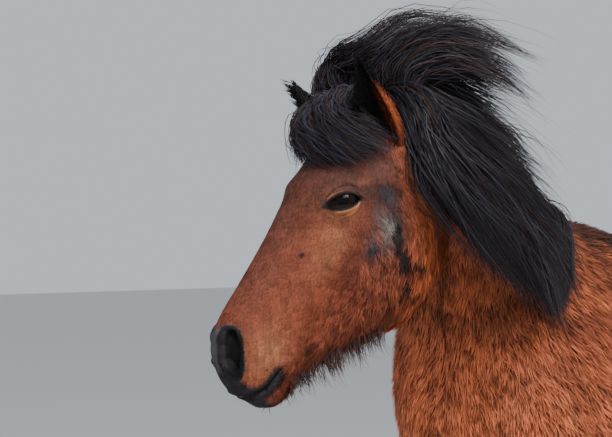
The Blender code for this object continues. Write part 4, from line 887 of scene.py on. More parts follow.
def head_rings(count, sides):
    """Rings of the head across its length, in the head's own u, v and w."""
    table = np.array([row[1:] for row in HEAD], float)
    spread = np.linspace(0, 1, count)
    at = (len(table) - 1) * (0.72 * spread + 0.28 * (1 - (1 - spread) ** 2))
    share = np.linspace(0, 1, sides // 2 + 1)
    rings = []
    for u, top, bottom, *widths in smooth(np.arange(len(table)), table, at):
        levels = top + (bottom - top) * np.array(HEAD_LEVELS)
        outline = np.stack([levels, (0.0, *widths, 0.0)], axis=1)
        run = np.concatenate([[0], np.cumsum(np.linalg.norm(np.diff(outline, axis=0), axis=1))])
        mirrored = np.concatenate([outline[1:2] * (1, -1), outline, outline[-2:-1] * (1, -1)])
        keys = np.concatenate([[-run[1]], run, [2 * run[-1] - run[-2]]])
        side = smooth(keys, mirrored, share * run[-1])
        side[0, 1] = side[-1, 1] = 0.0
        ring = np.concatenate([side, side[-2:0:-1] * (1, -1)])
        rings.append(np.stack([np.full(len(ring), u), ring[:, 0], ring[:, 1]], axis=1))
    return rings


def jaw_line(u):
    """The lowest v of the head along it."""
    return smooth([row[1] for row in HEAD], [row[3] for row in HEAD], u)


def lid_edges(a):
    """How wide the eye is open along its slit, and how high its upper and lower edges lie."""
    length, above, below = EYE_OPENING
    lens = np.clip(1 - (a / length) ** 2, 0, 1) ** LENS_SHAPE
    return lens, above * (1 - EYE_LEAN * a / length) * lens, -below * lens


def fold_lines(a, lens):
    """How high the upper lid's two creases and the lower lid's fold run."""
    crease = 0.0265 - 20 * (a + 0.0040) ** 2
    return crease, 0.55 * crease + 0.0050, -UNDER_FOLD * (0.45 + 0.55 * lens)


def sculpt_side(u, v, w):
    """How far the relief, the nostril and the mouth move the head's plain surface outwards."""
    side = np.clip(np.abs(w) / 0.02, 0, 1)
    rise = np.zeros(len(u))
    for _, at_u, at_v, along, across, angle, height in RELIEF:
        rise += side * height * spot(u, v, at_u, at_v, along, across, angle)
    away, along = path_distance(u, v, NOSTRIL)
    away = away / np.interp(along, np.arange(len(NOSTRIL)), NOSTRIL_WIDTH)
    inside = 1 / (1 + np.exp((away - 1) * 6))
    rise -= side * NOSTRIL_DEPTH * inside
    rise += side * NOSTRIL_RIM * ridge(away - 1.7, 0.55)
    away, along = path_distance(u, v, MOUTH)
    rise -= MOUTH_DEPTH * ridge(away, MOUTH_WIDTH) * np.clip((len(MOUTH) - 1 - along) / 0.5, 0, 1)
    return rise + LIP_SWELL * ridge(away - LIP_AWAY, LIP_WIDTH)


def sculpt_eye(a, b, height):
    """The head's surface near the eye, drawn over the ball as lids with an opening and folds."""
    lens, upper, lower = lid_edges(a)
    edge = np.where(b > 0, upper, -lower) + 1e-5
    ball = np.clip(1 - (a / EYEBALL[0]) ** 2 - (b / EYEBALL[1]) ** 2, 0, 1)
    front = EYEBALL[2] * np.sqrt(ball) - EYE_DEPTH
    outside = np.clip((np.abs(b) / edge - 1) * np.minimum(edge, 0.01) / LID_EDGE, -1, 1)
    outside = np.where(np.abs(a) > EYE_OPENING[0], 1.0, outside)
    lid = front + LID * np.where(b > 0, UPPER_LID, 1.0)
    deep = front - 0.004
    target = deep + (lid - deep) * (0.5 + 0.5 * outside)
    away = np.sqrt((a / (EYEBALL[0] * 1.1)) ** 2 + (b / (EYEBALL[1] * 1.1)) ** 2)
    raised = height + (target - height) * step(away, 1.0, 0.65)
    for (_, depth, width, above, end, full), line in zip(LID_FOLDS, fold_lines(a, lens)):
        raised -= depth * ridge(b - line, width) * step(np.abs(a), end, full) * (b * above > 0)
    return np.where(height > -0.03, raised, height)


def sculpt(points, normals, level):
    """The head's plain surface with all its relief, in the head's frame."""
    u, v, w = points.T
    mirror = np.where(w < 0, -1.0, 1.0)
    u, v, w = (points + sculpt_side(u, v, w)[:, None] * normals).T
    a, b, height = to_eye(u, v, w * mirror, level)
    u, v, w = from_eye(np.stack([a, b, sculpt_eye(a, b, height)], axis=1), level).T
    return np.stack([u, v, w * mirror], axis=1)


def refine(data, middle, reach, cuts):
    """Splits the faces of the head's plain surface near a place of its side, to carry finer relief."""
    bm = bmesh.new()
    bm.from_mesh(data)
    edges = [edge for edge in bm.edges if all(
        math.hypot(vertex.co[0] - middle[0], vertex.co[1] - middle[1]) < reach and abs(vertex.co[2]) > 0.008
        for vertex in edge.verts)]
    bmesh.ops.subdivide_edges(bm, edges=edges, cuts=cuts, use_grid_fill=True)
    bmesh.ops.triangulate(bm, faces=[face for face in bm.faces if len(face.verts) > 4])
    bm.to_mesh(data)
    bm.free()


def head_object():
    """The head with its relief, and how far out its plain surface lies where the eye is."""
    head = loft("head_skin", head_rings(HEAD_RINGS, HEAD_SIDES))
    for middle, reach, cuts in FINE_PLACES:
        refine(head.data, middle, reach, cuts)
    points = mesh_points(head.data)
    away = np.hypot(points[:, 0] - EYE_MIDDLE[0], points[:, 1] - EYE_MIDDLE[1])
    level = points[(away < 0.006) & (points[:, 2] > 0), 2].mean() + 0.001
    shaped = sculpt(points, mesh_normals(head.data), level)
    head.data.vertices.foreach_set("co", flat(from_head(shaped), float))
    face_out(head.data)
    return head, level


def add_body():
    """Trunk, neck and legs as one closed surface, as far under the solids' as the coat is deep."""
    pieces = [loft("trunk", trunk_rings(TRUNK_RINGS, TRUNK_SIDES))]
    for name in ("left", "right"):
        for end in ("fore", "hind"):
            pieces.append(loft(f"{end}leg_{name}", leg_rings(end, name, LEG_RINGS, LEG_SIDES)))
    body = joined(pieces, "body")
    remesh = body.modifiers.new("one_skin", "REMESH")
    remesh.mode = "VOXEL"
    remesh.voxel_size = BODY_VOXEL
    soften = body.modifiers.new("soften", "SMOOTH")
    soften.factor = 0.5
    soften.iterations = BODY_SMOOTHING
    apply_modifiers(body)
    points = mesh_points(body.data)
    depth = COAT_DEPTH["body"] * (0.45 + 0.55 * step(points[:, 2], 0.45, 0.75))
    place_points(body.data, points - depth[:, None] * mesh_normals(body.data))
    return body


def add_skin():
    """Body and head as one closed skin. Also returns the head's own surface and the level of its eyes."""
    skin = add_body()
    head, level = head_object()
    points = mesh_points(head.data)
    u, v = to_head(points).T[:2]
    depth = COAT_DEPTH["head"] + (COAT_DEPTH["jaw"] - COAT_DEPTH["head"]) * step(v, -0.10, -0.20)
    depth = depth * step(u, 0.50, 0.40) * (1 - spot(u, v, *EYE_MIDDLE, 0.035, 0.03))
    place_points(head.data, points - depth[:, None] * mesh_normals(head.data))
    head_tree = surface_of(head)
    union = skin.modifiers.new("union", "BOOLEAN")
    union.operation = "UNION"
    union.solver = "MANIFOLD"
    union.object = head
    apply_modifiers(skin)
    bpy.data.objects.remove(head)
    skin.name = "skin"
    skin.data.name = "skin"
    soften_seam(skin.data, head_tree)
    shade_smooth(skin.data)
    return skin, head_tree, level


def soften_seam(data, head_tree):
    """Smooths the crease where the head's surface meets the neck's."""
    points = mesh_points(data)
    u, v = to_head(points).T[:2]
    near = np.nonzero((u > -0.10) & (u < 0.34) & (v < -0.03) & (points[:, 0] < -0.36))[0]
    on_head = np.full(len(points), False)
    on_head[near] = distances(head_tree, points[near]) < 0.0004
    one, other = read_array(data.edges, "vertices", 2, np.int32).T
    seam = on_head[one] != on_head[other]
    from_seam = np.full(len(points), 9.0)
    from_seam[one[seam]] = 0.0
    from_seam[other[seam]] = 0.0
    span = np.linalg.norm(points[one] - points[other], axis=1)
    for _ in range(40):
        np.minimum.at(from_seam, other, from_seam[one] + span)
        np.minimum.at(from_seam, one, from_seam[other] + span)
    weight = step(from_seam, SEAM_REACH, 0.0)[:, None] * 0.6
    size = len(points)
    count = np.maximum(np.bincount(one, minlength=size) + np.bincount(other, minlength=size), 1)[:, None]
    for _ in range(60):
        total = np.stack([np.bincount(one, points[other, k], size) for k in range(3)], axis=1)
        total += np.stack([np.bincount(other, points[one, k], size) for k in range(3)], axis=1)
        points += weight * (total / count - points)
    place_points(data, points)


def headness(points, head_tree):
    """1 on the head, 0 on the neck and body, and a smooth change between."""
    u = to_head(points)[:, 0]
    value = np.zeros(len(points))
    near = np.nonzero((u > -0.08) & (points[:, 0] < -0.38) & (points[:, 2] > 1.0))[0]
    value[near] = step(distances(head_tree, points[near]), 0.030, 0.004)
    return value


def places(points):
    """The measures of place that the coat's rules read."""
    x, _, z = points.T
    u, v, w = to_head(points).T
    return {
        "x": x,
        "z": z,
        "side": (x, z),
        "throat_x": x - 0.25 * (z - 1.2),
        "belly": (x > BELLY_FUR[0]) & (x < BELLY_FUR[1]),
        "under_belly": (x > BELLY_BACK[0]) & (x < BELLY_BACK[1]),
        "heel": x > np.where(x > HIND_FROM, *HEELS),
        "off_heel": np.abs(z - FEATHER),
        "u": u,
        "v": v,
        "aside": np.abs(w),
        "face": (u, v),
        "above_jaw": v - jaw_line(np.clip(u, -0.03, 0.54)),
    }


def measures(points, level):
    """All the measures that the coat's colours read: places, unevenness, and distances on the face."""
    at = places(points)
    z, (u, v) = at["z"], at["face"]
    patchy = waves(points, 0.05, 3)
    fine = waves(points, 0.014, 4)
    at.update({
        "patchy": patchy,
        "ragged_z": z + 0.03 * patchy,
        "uneven_z": z + 0.02 * patchy,
        "speckled": patchy + fine * 0.5,
        "body_uneven": patchy * 0.6 + fine * 0.5,
        "face_uneven": patchy * 0.5 + fine * 0.7,
        "grain": 0.5 + 0.5 * fine,
        "light_grain": 0.32 + 0.25 * fine,
        "strong_grain": 0.70 + 0.20 * fine,
        "slant": u + 0.5 * v,
        "from_nostril": path_distance(u, v, NOSTRIL)[0],
        "from_nostril_dark": path_distance(u, v, NOSTRIL_DARK)[0],
        "from_mouth": path_distance(u, v, MOUTH)[0],
    })
    at["nose"] = added(NOSE, at)
    a, b, height = to_eye(u, v, at["aside"], level)
    lens, upper, lower = lid_edges(a)
    crease, second, fold = fold_lines(a, lens)
    at_eye = (np.abs(a) < 0.042) & (np.abs(b) < 0.045) & (height > -0.04)
    corners = sum(spot(a, b, end * 0.0275, end * -0.0008, 0.0070, 0.0032) for end in (-1, 1))
    at.update({
        "a": a,
        "b": b,
        "eye": (a, b),
        "at_eye": at_eye,
        "lids": step(np.abs(a), 0.034, 0.024) * at_eye,
        "off_middle": np.abs(a),
        "past_ends": np.abs(a) - EYE_OPENING[0],
        "over_crease": b - crease,
        "from_crease": np.abs(b - crease),
        "from_second": np.abs(b - second),
        "from_under_fold": np.abs(b - fold + 0.0020 * (0.45 + 0.55 * lens)),
        "from_lid_light": np.abs(b - upper - 0.0070),
        "from_under_lid": np.abs(b - lower + 0.0092),
        "from_tear_line": np.abs(b - lower + 0.0058),
        "from_rim": np.minimum(0.75 * np.abs(b - upper), np.abs(b - lower)),
        "corners": np.clip(1.4 * corners, 0, 1),
        "opening": (b < upper) & (b > lower) & at_eye,
    })
    return at


def coat_colour(points, on_head, level):
    """The colour of the coat at each point of the skin, for skin and tufts alike, with painted shade and
    sheen in places.
    """
    at = measures(points, level)
    body = laid_on(np.tile(BODY_BROWN, (len(points), 1)), BODY_TONES, at)
    face = np.tile(RED_BROWN, (len(points), 1))
    for _, tone, strength, at_u, at_v, along, across, angle, broken in FACE_PATCHES:
        share = 1.25 * spot(*at["face"], at_u, at_v, along, across, angle) * (1 + broken * at["face_uneven"])
        face = blend(face, tone, strength * np.clip(share, 0, 1))
    for _, tone, strength, half_width, broken, path in FACE_STREAKS:
        away = path_distance(*at["face"], path)[0] + 0.010 * broken * at["face_uneven"]
        face = blend(face, tone, strength * step(away, 1.5 * half_width, 0.6 * half_width))
    return blend(body, laid_on(face, FACE_TONES, at), on_head)


def fur_lie(points, on_head):
    """Which way the coat lies at each point, and by what angle it strays from that."""
    at = places(points)
    count = len(points)
    mirror = np.stack([np.ones(count), np.sign(points[:, 1]), np.ones(count)], axis=1)
    body = laid_on(np.tile((1.0, 0, -0.35), (count, 1)), BODY_LIE, at) * mirror
    face = np.tile(np.array((1.0, 0.05, 0)) @ HEAD_AXES, (count, 1))
    face = blend(face, np.array((0.55, -0.80, 0)) @ HEAD_AXES, added([CHEEK_LIE], at))
    face = blend(face, (0.03, 0, -1.0), added([JAW_LIE], at))
    return blend(body, face, on_head), 0.30 * waves(points, 0.09, 8) + 0.16 * waves(points, 0.03, 9)


def unwrap(points, on_head):
    """Where each point of the skin lies on an unwrap of its shape, with trunk, head and legs unrolled."""
    x, y, z = points.T
    u, v, w = to_head(points).T

    def turn(rise, aside):
        return np.arctan2(rise, aside) / (2 * math.pi) + 0.5

    trunk_turn = turn(y, z - 1.03 - 0.35 * step(x, 0.0, -0.5))
    place = np.stack([0.01 + 0.98 * np.clip((x + 0.70) / 1.72, 0, 1), 0.01 + 0.44 * trunk_turn], axis=1)
    leg = (z < 0.72) & (on_head < 0.5)
    index = 2 * (x > 0.4) + (y > 0)
    leg_turn = turn(np.abs(y) - 0.14, x - np.where(x > 0.4, 0.93, -0.155))
    place[leg] = np.stack([0.50 + 0.122 * index + 0.11 * leg_turn, 0.47 + 0.70 * z], axis=1)[leg]
    head = on_head >= 0.5
    head_turn = turn(w, v + 0.12)
    head_run = np.clip((u + 0.12) / 0.68, 0, 1)
    place[head] = np.stack([0.01 + 0.47 * head_run, 0.47 + 0.52 * head_turn], axis=1)[head]
    return place


def in_pieces(name, points, faces, colours, uvs, most):
    """Items that each have the same points and faces, as one mesh or as several where there are many."""
    count, corners = points.shape[:2]
    chunks = max(1, math.ceil(count * len(faces) / most))
    made = []
    for k in range(chunks):
        pick = slice(k * count // chunks, (k + 1) * count // chunks)
        part = points[pick].reshape(-1, 3)
        index = (faces + corners * np.arange(len(points[pick]))[:, None, None]).reshape(-1, 3)
        label = f"{name}_{k + 1}" if chunks > 1 else name
        made.append(fast_mesh(label, part, index, colours[pick].reshape(-1, 3), uvs[pick].reshape(-1, 2)))
    return made


def tuft_pieces(name, roots, mids, tips, widths, outward, root_colours, tip_colours, uv):
    """Flat tufts of three triangles each."""
    half = widths[:, None] / 2
    foot = unit(np.cross(unit(tips - roots), outward)) * half * 0.6
    middle = unit(np.cross(unit(tips - mids), outward)) * half
    points = np.stack([roots - foot, roots + foot, mids - middle, mids + middle, tips], axis=1)
    mixed = (root_colours + tip_colours) / 2
    colours = np.stack([root_colours, root_colours, mixed, mixed, tip_colours], axis=1)
    return in_pieces(name, points, TUFT_FACES, colours, uv[:, None] + TUFT_CORNERS * PATCH, TUFT_PIECE)


def strand_pieces(name, paths, widths, facing, root_colours, tip_colours, uv):
    """Long hairs as flat ribbons, each along its own path and narrowing to its tip."""
    count, steps = paths.shape[:2]
    across = unit(np.cross(np.gradient(paths, axis=1), facing[:, None, :]))
    t = np.linspace(0, 1, steps)
    profile = (0.65 + 0.35 * np.sin(np.pi * np.clip(t * 1.3, 0, 1))) * (1 - t**4) + 0.04
    half = across * (widths[:, None, None] / 2 * profile[None, :, None])
    points = np.stack([paths - half, paths + half], axis=2).reshape(count, 2 * steps, 3)
    share = t[None, :, None]
    tone = root_colours[:, None] * (1 - share) + tip_colours[:, None] * share
    colours = np.repeat(tone, 2, axis=1)
    corners = np.stack([np.tile((-0.5, 0.5), steps), np.repeat(t - 0.5, 2)], axis=1) * PATCH
    low = 2 * np.arange(steps - 1)
    faces = np.stack([low, low + 1, low + 3, low, low + 3, low + 2], axis=1).reshape(-1, 3)
    return in_pieces(name, points, faces, colours, uv[:, None] + corners, STRAND_PIECE)


def scattered(data, density, rng):
    """Random roots on a mesh and the way out of it there, with density in tufts per square metre."""
    points, triangles, normals = mesh_points(data), mesh_triangles(data), mesh_normals(data)
    a, b, c = (points[triangles[:, k]] for k in range(3))
    wanted = np.linalg.norm(np.cross(b - a, c - a), axis=1) / 2 * density[triangles].mean(axis=1)
    total = int(wanted.sum())
    pick = np.searchsorted(np.cumsum(wanted) / wanted.sum(), rng.random(total))
    pick = np.clip(pick, 0, len(triangles) - 1)
    p, q = rng.random(total), rng.random(total)
    over = p + q > 1
    p[over], q[over] = 1 - p[over], 1 - q[over]
    shares = np.stack([1 - p - q, p, q], axis=1)[:, :, None]
    corner = triangles[pick]
    return (points[corner] * shares).sum(axis=1), unit((normals[corner] * shares).sum(axis=1))


def laid(tree, points, heights):
    """The points moved to the given height above the nearest place on the skin."""
    moved = np.empty_like(points)
    for i, (point, height) in enumerate(zip(points.tolist(), heights.tolist())):
        nearest, normal, _, _ = tree.find_nearest(point)
        moved[i] = nearest + normal * height
    return moved


def clumped(roots, tips, along, share):
    """Draws the tips of tufts in each small cell towards one line."""
    cells = np.floor(roots / CLUMP).astype(np.int64)
    key = cells[:, 0] * 1000003 + cells[:, 1] * 1009 + cells[:, 2]
    index = np.unique(key, return_inverse=True)[1].reshape(-1)
    count = np.bincount(index)[:, None]
    centre = np.stack([np.bincount(index, roots[:, k]) for k in range(3)], axis=1) / count
    return tips - share * across_only(roots - centre[index], along)


def coat_numbers(points, on_head):
    """For each root: tufts per square metre, length, width, and height of the tip."""
    at = places(points)
    leg = step(at["z"], 0.75, 0.45)
    length = added(BODY_LENGTH, at) * (1 - leg) + LEG_LENGTH * leg
    length = length + added(LOW_LENGTH, at)
    body = (added(BODY_DENSITY, at), length, added(BODY_WIDTH, at), added(BODY_TIP, at) * length + LEAST_TIP)
    length = added(FACE_LENGTH, at) * (1 - NEAR_EYE_SHORTER * spot(*at["face"], *EYE_MIDDLE, *NEAR_EYE))
    at["length"] = length
    tip = 0.12 * length + 0.16 * np.clip(length - 0.010, 0, 1)
    face = (added(FACE_DENSITY, at), length, FACE_WIDTH + 0.05 * length, tip)
    return [low * (1 - on_head) + high * on_head for low, high in zip(body, face)]


def bare_places(points, on_head, level):
    """Where no coat grows: eyes, nostril insides, lips' line, soles and hoof walls."""
    u, v, w = to_head(points).T
    a, b, height = to_eye(u, v, np.abs(w), level)
    length, above, below = LID_BARE
    lens = np.clip(1 - (a / length) ** 2, 0, 1) ** 0.6
    eye = (b < above * lens) & (b > -below * lens) & (height > -0.04)
    nostril = path_distance(u, v, NOSTRIL)[0] < 0.011
    mouth = (path_distance(u, v, MOUTH)[0] < 0.0035) & (u > 0.46)
    return ((eye | nostril | mouth) & (on_head > 0.5)) | (points[:, 2] < CORONET - 0.004)


def grow_coat(skin, head_tree, level, rng):
    """Colours the skin and covers it with tufts. Returns their pieces with their slots, and its surface."""
    points = mesh_points(skin.data)
    on_head = headness(points, head_tree)
    paint(skin.data, coat_colour(points, on_head, level))
    tree = surface_of(skin)
    density = coat_numbers(points, on_head)[0]
    density[bare_places(points, on_head, level)] = 0
    roots, outward = scattered(skin.data, density * DRAWN, rng)
    on_head = headness(roots, head_tree)
    free = ~bare_places(roots, on_head, level)
    roots, outward, on_head = roots[free], outward[free], on_head[free]
    count = len(roots)
    _, length, width, tip_height = coat_numbers(roots, on_head)
    way, turn = fur_lie(roots, on_head)
    way = unit(across_only(way, outward))
    turn = turn + rng.normal(0, TUFT_TURN, count)
    along = way * np.cos(turn)[:, None] + np.cross(outward, way) * np.sin(turn)[:, None]
    cell = cell_random(roots, CLUMP, 5)
    length = length * rng.uniform(*TUFT_LENGTHS, count) * (0.85 + 0.3 * cell)
    tip_height = tip_height * rng.uniform(*TUFT_HEIGHTS, count) * (0.75 + 0.5 * cell)
    furry = step(length, 0.008, 0.018)
    mids = laid(tree, roots + along * (length * 0.5)[:, None], tip_height * 0.55 + 0.0006)
    tips = clumped(roots, roots + along * length[:, None], along, (0.40 + 0.28 * furry)[:, None])
    tips = laid(tree, tips, tip_height)
    light = 1.0 + (0.35 + 0.45 * furry) * (cell - 0.5) + rng.normal(0, 1, count) * (0.17 + 0.05 * furry)
    dark = rng.random(count) < DARK_TUFTS * step(length, 0.010, 0.018)
    light = np.clip(np.where(dark, 0.50 * light, light), 0.3, 1.7)[:, None]
    tone = coat_colour(roots, on_head, level)
    # Each tuft is darker at its root, painted shade deep in the coat, and lighter at its tip, painted light
    # on the outer hair.
    shaded_root_tone = tone * (0.50 - 0.14 * furry)[:, None] * light
    lit_tip_tone = (tone * (1.14 + 0.16 * furry)[:, None] + 0.004) * light
    feet = roots - outward * ROOT_DEPTH
    parts = (feet, mids, tips, width, outward, shaded_root_tone, lit_tip_tone, unwrap(roots, on_head))
    head, front = on_head > 0.5, roots[:, 0] < NECK_ENDS
    groups = (
        ("coat_head", "head_coat", head),
        ("coat_neck", "neck_coat", ~head & front),
        ("coat_body", "coat", ~head & ~front),
    )
    made = []
    for name, slot_name, chosen in groups:
        pieces = tuft_pieces(name, *(part[chosen] for part in parts))
        made += [(piece, slot_name) for piece in pieces]
    return made, tree


def hair_from(guides, kind, rng):
    """Many hairs round each guide path. They part from it half way and draw together at the tip of the lock,
    and some stray from it."""
    steps = guides.shape[1]
    paths = np.repeat(guides, max(4, int(kind.strands * DRAWN)), axis=0)
    total = len(paths)
    t = np.linspace(0, 1, steps)[None, :, None]
    offset = np.clip(rng.normal(0, 1, (total, 3)), -2, 2)[:, None]
    other = np.clip(rng.normal(0, 1, (total, 3)), -2, 2)[:, None]
    loose = rng.random((total, 1, 1)) < kind.stray
    gathered = offset * kind.spread * (1 - 0.70 * t**1.5) + other * kind.spread * 0.25 * t
    strayed = offset * kind.spread * (1 + 0.8 * t) + other * kind.spread * 2.4 * t**2
    paths = paths + np.where(loose, strayed, gathered)
    phase = rng.uniform(0, 2 * math.pi, (total, 1, 1))
    often = rng.uniform(0.8, 1.8, (total, 1, 1))
    swing = rng.normal(0, 1, (total, 3))[:, None] * kind.wave * np.where(loose, 1.6, 0.6)
    paths = paths + swing * t * np.sin(phase + often * 2 * math.pi * t)
    at = np.linspace(0, 1, steps)[None] * rng.uniform(kind.shortest, 1.03, (total, 1)) * (steps - 1)
    i = np.clip(at.astype(int), 0, steps - 2)
    part = (at - i)[:, :, None]
    rows = np.arange(total)[:, None]
    return paths[rows, i] * (1 - part) + paths[rows, i + 1] * part


def clear_of(tree, paths, clear):
    """Moves the points past the root out of the flesh."""
    points = paths.reshape(-1, 3)
    need = np.tile(np.minimum(clear, np.arange(paths.shape[1]) * clear / 2), len(paths))
    for i, (point, height) in enumerate(zip(points.tolist(), need.tolist())):
        if height <= 0:
            continue
        nearest, normal, _, distance = tree.find_nearest(point)
        if distance < 0.12:
            points[i] += np.array(normal) * max(0.0, height - (Vector(point) - nearest).dot(normal))
    return points.reshape(paths.shape)


def grow_hair(name, guides, tree, rng):
    """The strands of one kind of long hair round its guide paths, clear of the skin."""
    kind = HAIR[name]
    paths = clear_of(tree, hair_from(clear_of(tree, guides, GUIDE_CLEAR), kind, rng), STRAND_CLEAR)
    count = len(paths)
    widths = kind.width * rng.uniform(*WIDTHS, count)
    facing = unit(np.array(kind.facing) + rng.normal(0, FACING_STRAY, (count, 3)))
    tone = np.tile(HAIR_BLACK, (count, 1))
    # A share of the strands is bluish, a painted sky sheen, and a share is brown.
    tone[rng.random(count) < SKY_SHEEN_SHARE] = HAIR_SKY_SHEEN
    tone[rng.random(count) < kind.brown] = HAIR_BROWN
    tone = tone * (kind.glow * rng.uniform(*GLOWS, (count, 1)))
    return strand_pieces(name, paths, widths, facing, tone, tone * 1.3, unwrap(paths[:, 0], np.zeros(count)))


def even_places(count, rng):
    """Places from 0 to 1, one at random in each of as many equal stretches."""
    return (np.arange(count) + rng.uniform(0, 1, count)) / count


def blown(roots, offsets, scale):
    """Paths from the roots along offsets in the wind."""
    moved = roots[:, None] + (offsets @ WIND_AXES) * scale[:, None, None]
    return smooth_paths(np.concatenate([roots[:, None], moved], axis=1), PATH_STEPS)


def mane_flow(s, layer):
    """Offsets of mane strands from their place on the crest and from how far down the neck they fall."""
    table = np.array(MANE_FLOW)
    place = np.clip(s, 0, 1) * (len(table) - 1)
    k = np.minimum(place.astype(int), len(table) - 2)
    share = (place - k)[:, None, None]
    depth = np.clip(layer, 0, 0.9999) * 2
    j = depth.astype(int)
    part = (depth - j)[:, None, None]
    low = table[k, j] * (1 - share) + table[k + 1, j] * share
    high = table[k, j + 1] * (1 - share) + table[k + 1, j + 1] * share
    return low * (1 - part) + high * part


def grow_mane(tree, rng):
    """The mane, and longer wisps that leave it at the top."""
    guides = HAIR["mane"].guides
    s = even_places(guides, rng)
    layer = ((np.arange(guides) * 0.618) % 1.0) ** 0.8
    offsets = mane_flow(s, layer) + rng.normal(0, 0.006, (guides, 3, 3))
    offsets[:, :, 0] -= 0.012 * step(s, 0.35, 0.85)[:, None] * np.array((0.4, 0.8, 1.0))
    crest = np.array([(row[1], row[8], row[2]) for row in TRUNK[CREST_FROM:]])[::-1]
    roots = smooth(np.linspace(0, 1, len(crest)), crest, MANE_END * s)
    roots = roots + np.stack([np.zeros(guides), -0.010 - 0.022 * layer, -0.012 - 0.012 * layer], axis=1)
    mane = grow_hair("mane", blown(roots, offsets, rng.uniform(0.90, 1.03, guides)), tree, rng)
    loose = layer < WISP_LAYER
    wisps = blown(roots[loose], offsets[loose], rng.uniform(1.12, 1.32, loose.sum()))
    return mane + grow_hair("mane_wisps", wisps, tree, rng)


def grow_top(tree, rng):
    guides = HAIR["top_hair"].guides
    place = even_places(guides, rng)
    offsets = between(TOP_FLOW, place) + rng.normal(0, 0.007, (guides, 4, 3))
    roots = from_head(between(TOP_ROOTS, place))
    return grow_hair("top_hair", blown(roots, offsets, rng.uniform(0.74, 1.08, guides)), tree, rng)


def grow_forelock(tree, rng):
    flow = between(FORELOCK_FLOW, even_places(HAIR["forelock"].guides, rng))
    flow[:, 1:] += rng.normal(0, 0.006, flow[:, 1:].shape)
    return grow_hair("forelock", smooth_paths(from_head(flow), PATH_STEPS), tree, rng)


def grow_beard(tree, rng):
    """Hair under the jaw and the chin."""
    guides = HAIR["beard"].guides
    u = 0.330 + 0.165 * rng.random(guides)
    w = rng.uniform(-0.030, 0.030, guides)
    roots = from_head(np.stack([u, jaw_line(u) + 0.012 + 6 * w * w, w], axis=1))
    length = rng.uniform(0.028, 0.052, guides) * np.where(u < 0.45, 1.0, 0.6)
    paths = np.stack([roots + length[:, None] * t * (0.25 * t * WIND - UP) for t in SHARES], axis=1)
    return grow_hair("beard", smooth_paths(paths, SHORT_PATH_STEPS), tree, rng)


def grow_lashes(level, rng):
    """The lashes of both upper lids, and the feelers round the lips."""
    paths = []
    for mirror in (1, -1):
        for a in np.linspace(-0.019, 0.020, LASHES_PER_EYE):
            along = a / EYE_OPENING[0]
            root = np.array((a, EYE_OPENING[1] * (1 - along**2) ** LENS_SHAPE + 0.001, 0.0005))
            reach = rng.uniform(0.010, 0.015)
            way = np.array((0.25 * along + rng.normal(0, 0.12), 0.10, 1.0))
            droop = np.array((0.0, -0.35, 0.0))
            lash = np.array([root + reach * (way * t + droop * t * t) for t in SHARES])
            paths.append(from_eye(lash, level) * (1, 1, mirror))
    feelers = [(0.475 + 0.06 * rng.random(), -0.070 - 0.075 * rng.random()) for _ in range(FEELERS)]
    for i, (u, v) in enumerate(feelers):
        side = -1 if i % 2 else 1
        root = np.array((u, v, side * 0.030))
        reach = rng.uniform(0.020, 0.042)
        way = np.array((0.35, -0.25 + rng.normal(0, 0.3), side * 0.9))
        bend = np.array((0.004, 0, 0))
        paths.append(np.array([root + reach * way * t + bend * t * t for t in SHARES]))
    paths = smooth_paths(from_head(paths), SHORT_PATH_STEPS)
    count = len(paths)
    tone = np.tile(HAIR_BLACK, (count, 1))
    facing = unit(np.array((-0.6, -0.7, 0.3)) + rng.normal(0, 0.3, (count, 3)))
    uv = unwrap(paths[:, 0], np.ones(count))
    return strand_pieces("lashes", paths, np.full(count, LASH_WIDTH), facing, tone, tone, uv)


def grow_tail(tree, rng):
    guides = HAIR["tail_hair"].guides
    turn = rng.uniform(0, 2 * math.pi, guides)
    roots = smooth(np.arange(len(DOCK)), DOCK, rng.uniform(*TAIL_ROOTS, guides) * (len(DOCK) - 1))
    spread = np.stack([0.5 * np.sin(turn), np.cos(turn), np.zeros(guides)], axis=1)
    roots = roots + TAIL_ROOT_SPREAD * spread
    length = rng.uniform(*TAIL_LENGTH, guides)[:, None]
    paths = [roots]
    for t in (0.25, 0.5, 0.75, 1.0):
        along, aside = TAIL_BLOWN
        drop = roots + np.array((along * t, aside * t * t, 0.0)) - UP * length * t
        paths.append(drop + spread * TAIL_BULGE * math.sin(2.2 * t) + rng.normal(0, 0.008, (guides, 3)))
    return grow_hair("tail_hair", smooth_paths(np.stack(paths, axis=1), TAIL_STEPS), tree, rng)


def ear_lines(name):
    """An ear's foot, length, axis and the way its cup opens, in the head's frame."""
    base, tip, opening = (np.array(value) for value in EARS[name])
    length = np.linalg.norm(tip - base)
    return base, length, (tip - base) / length, unit(opening)


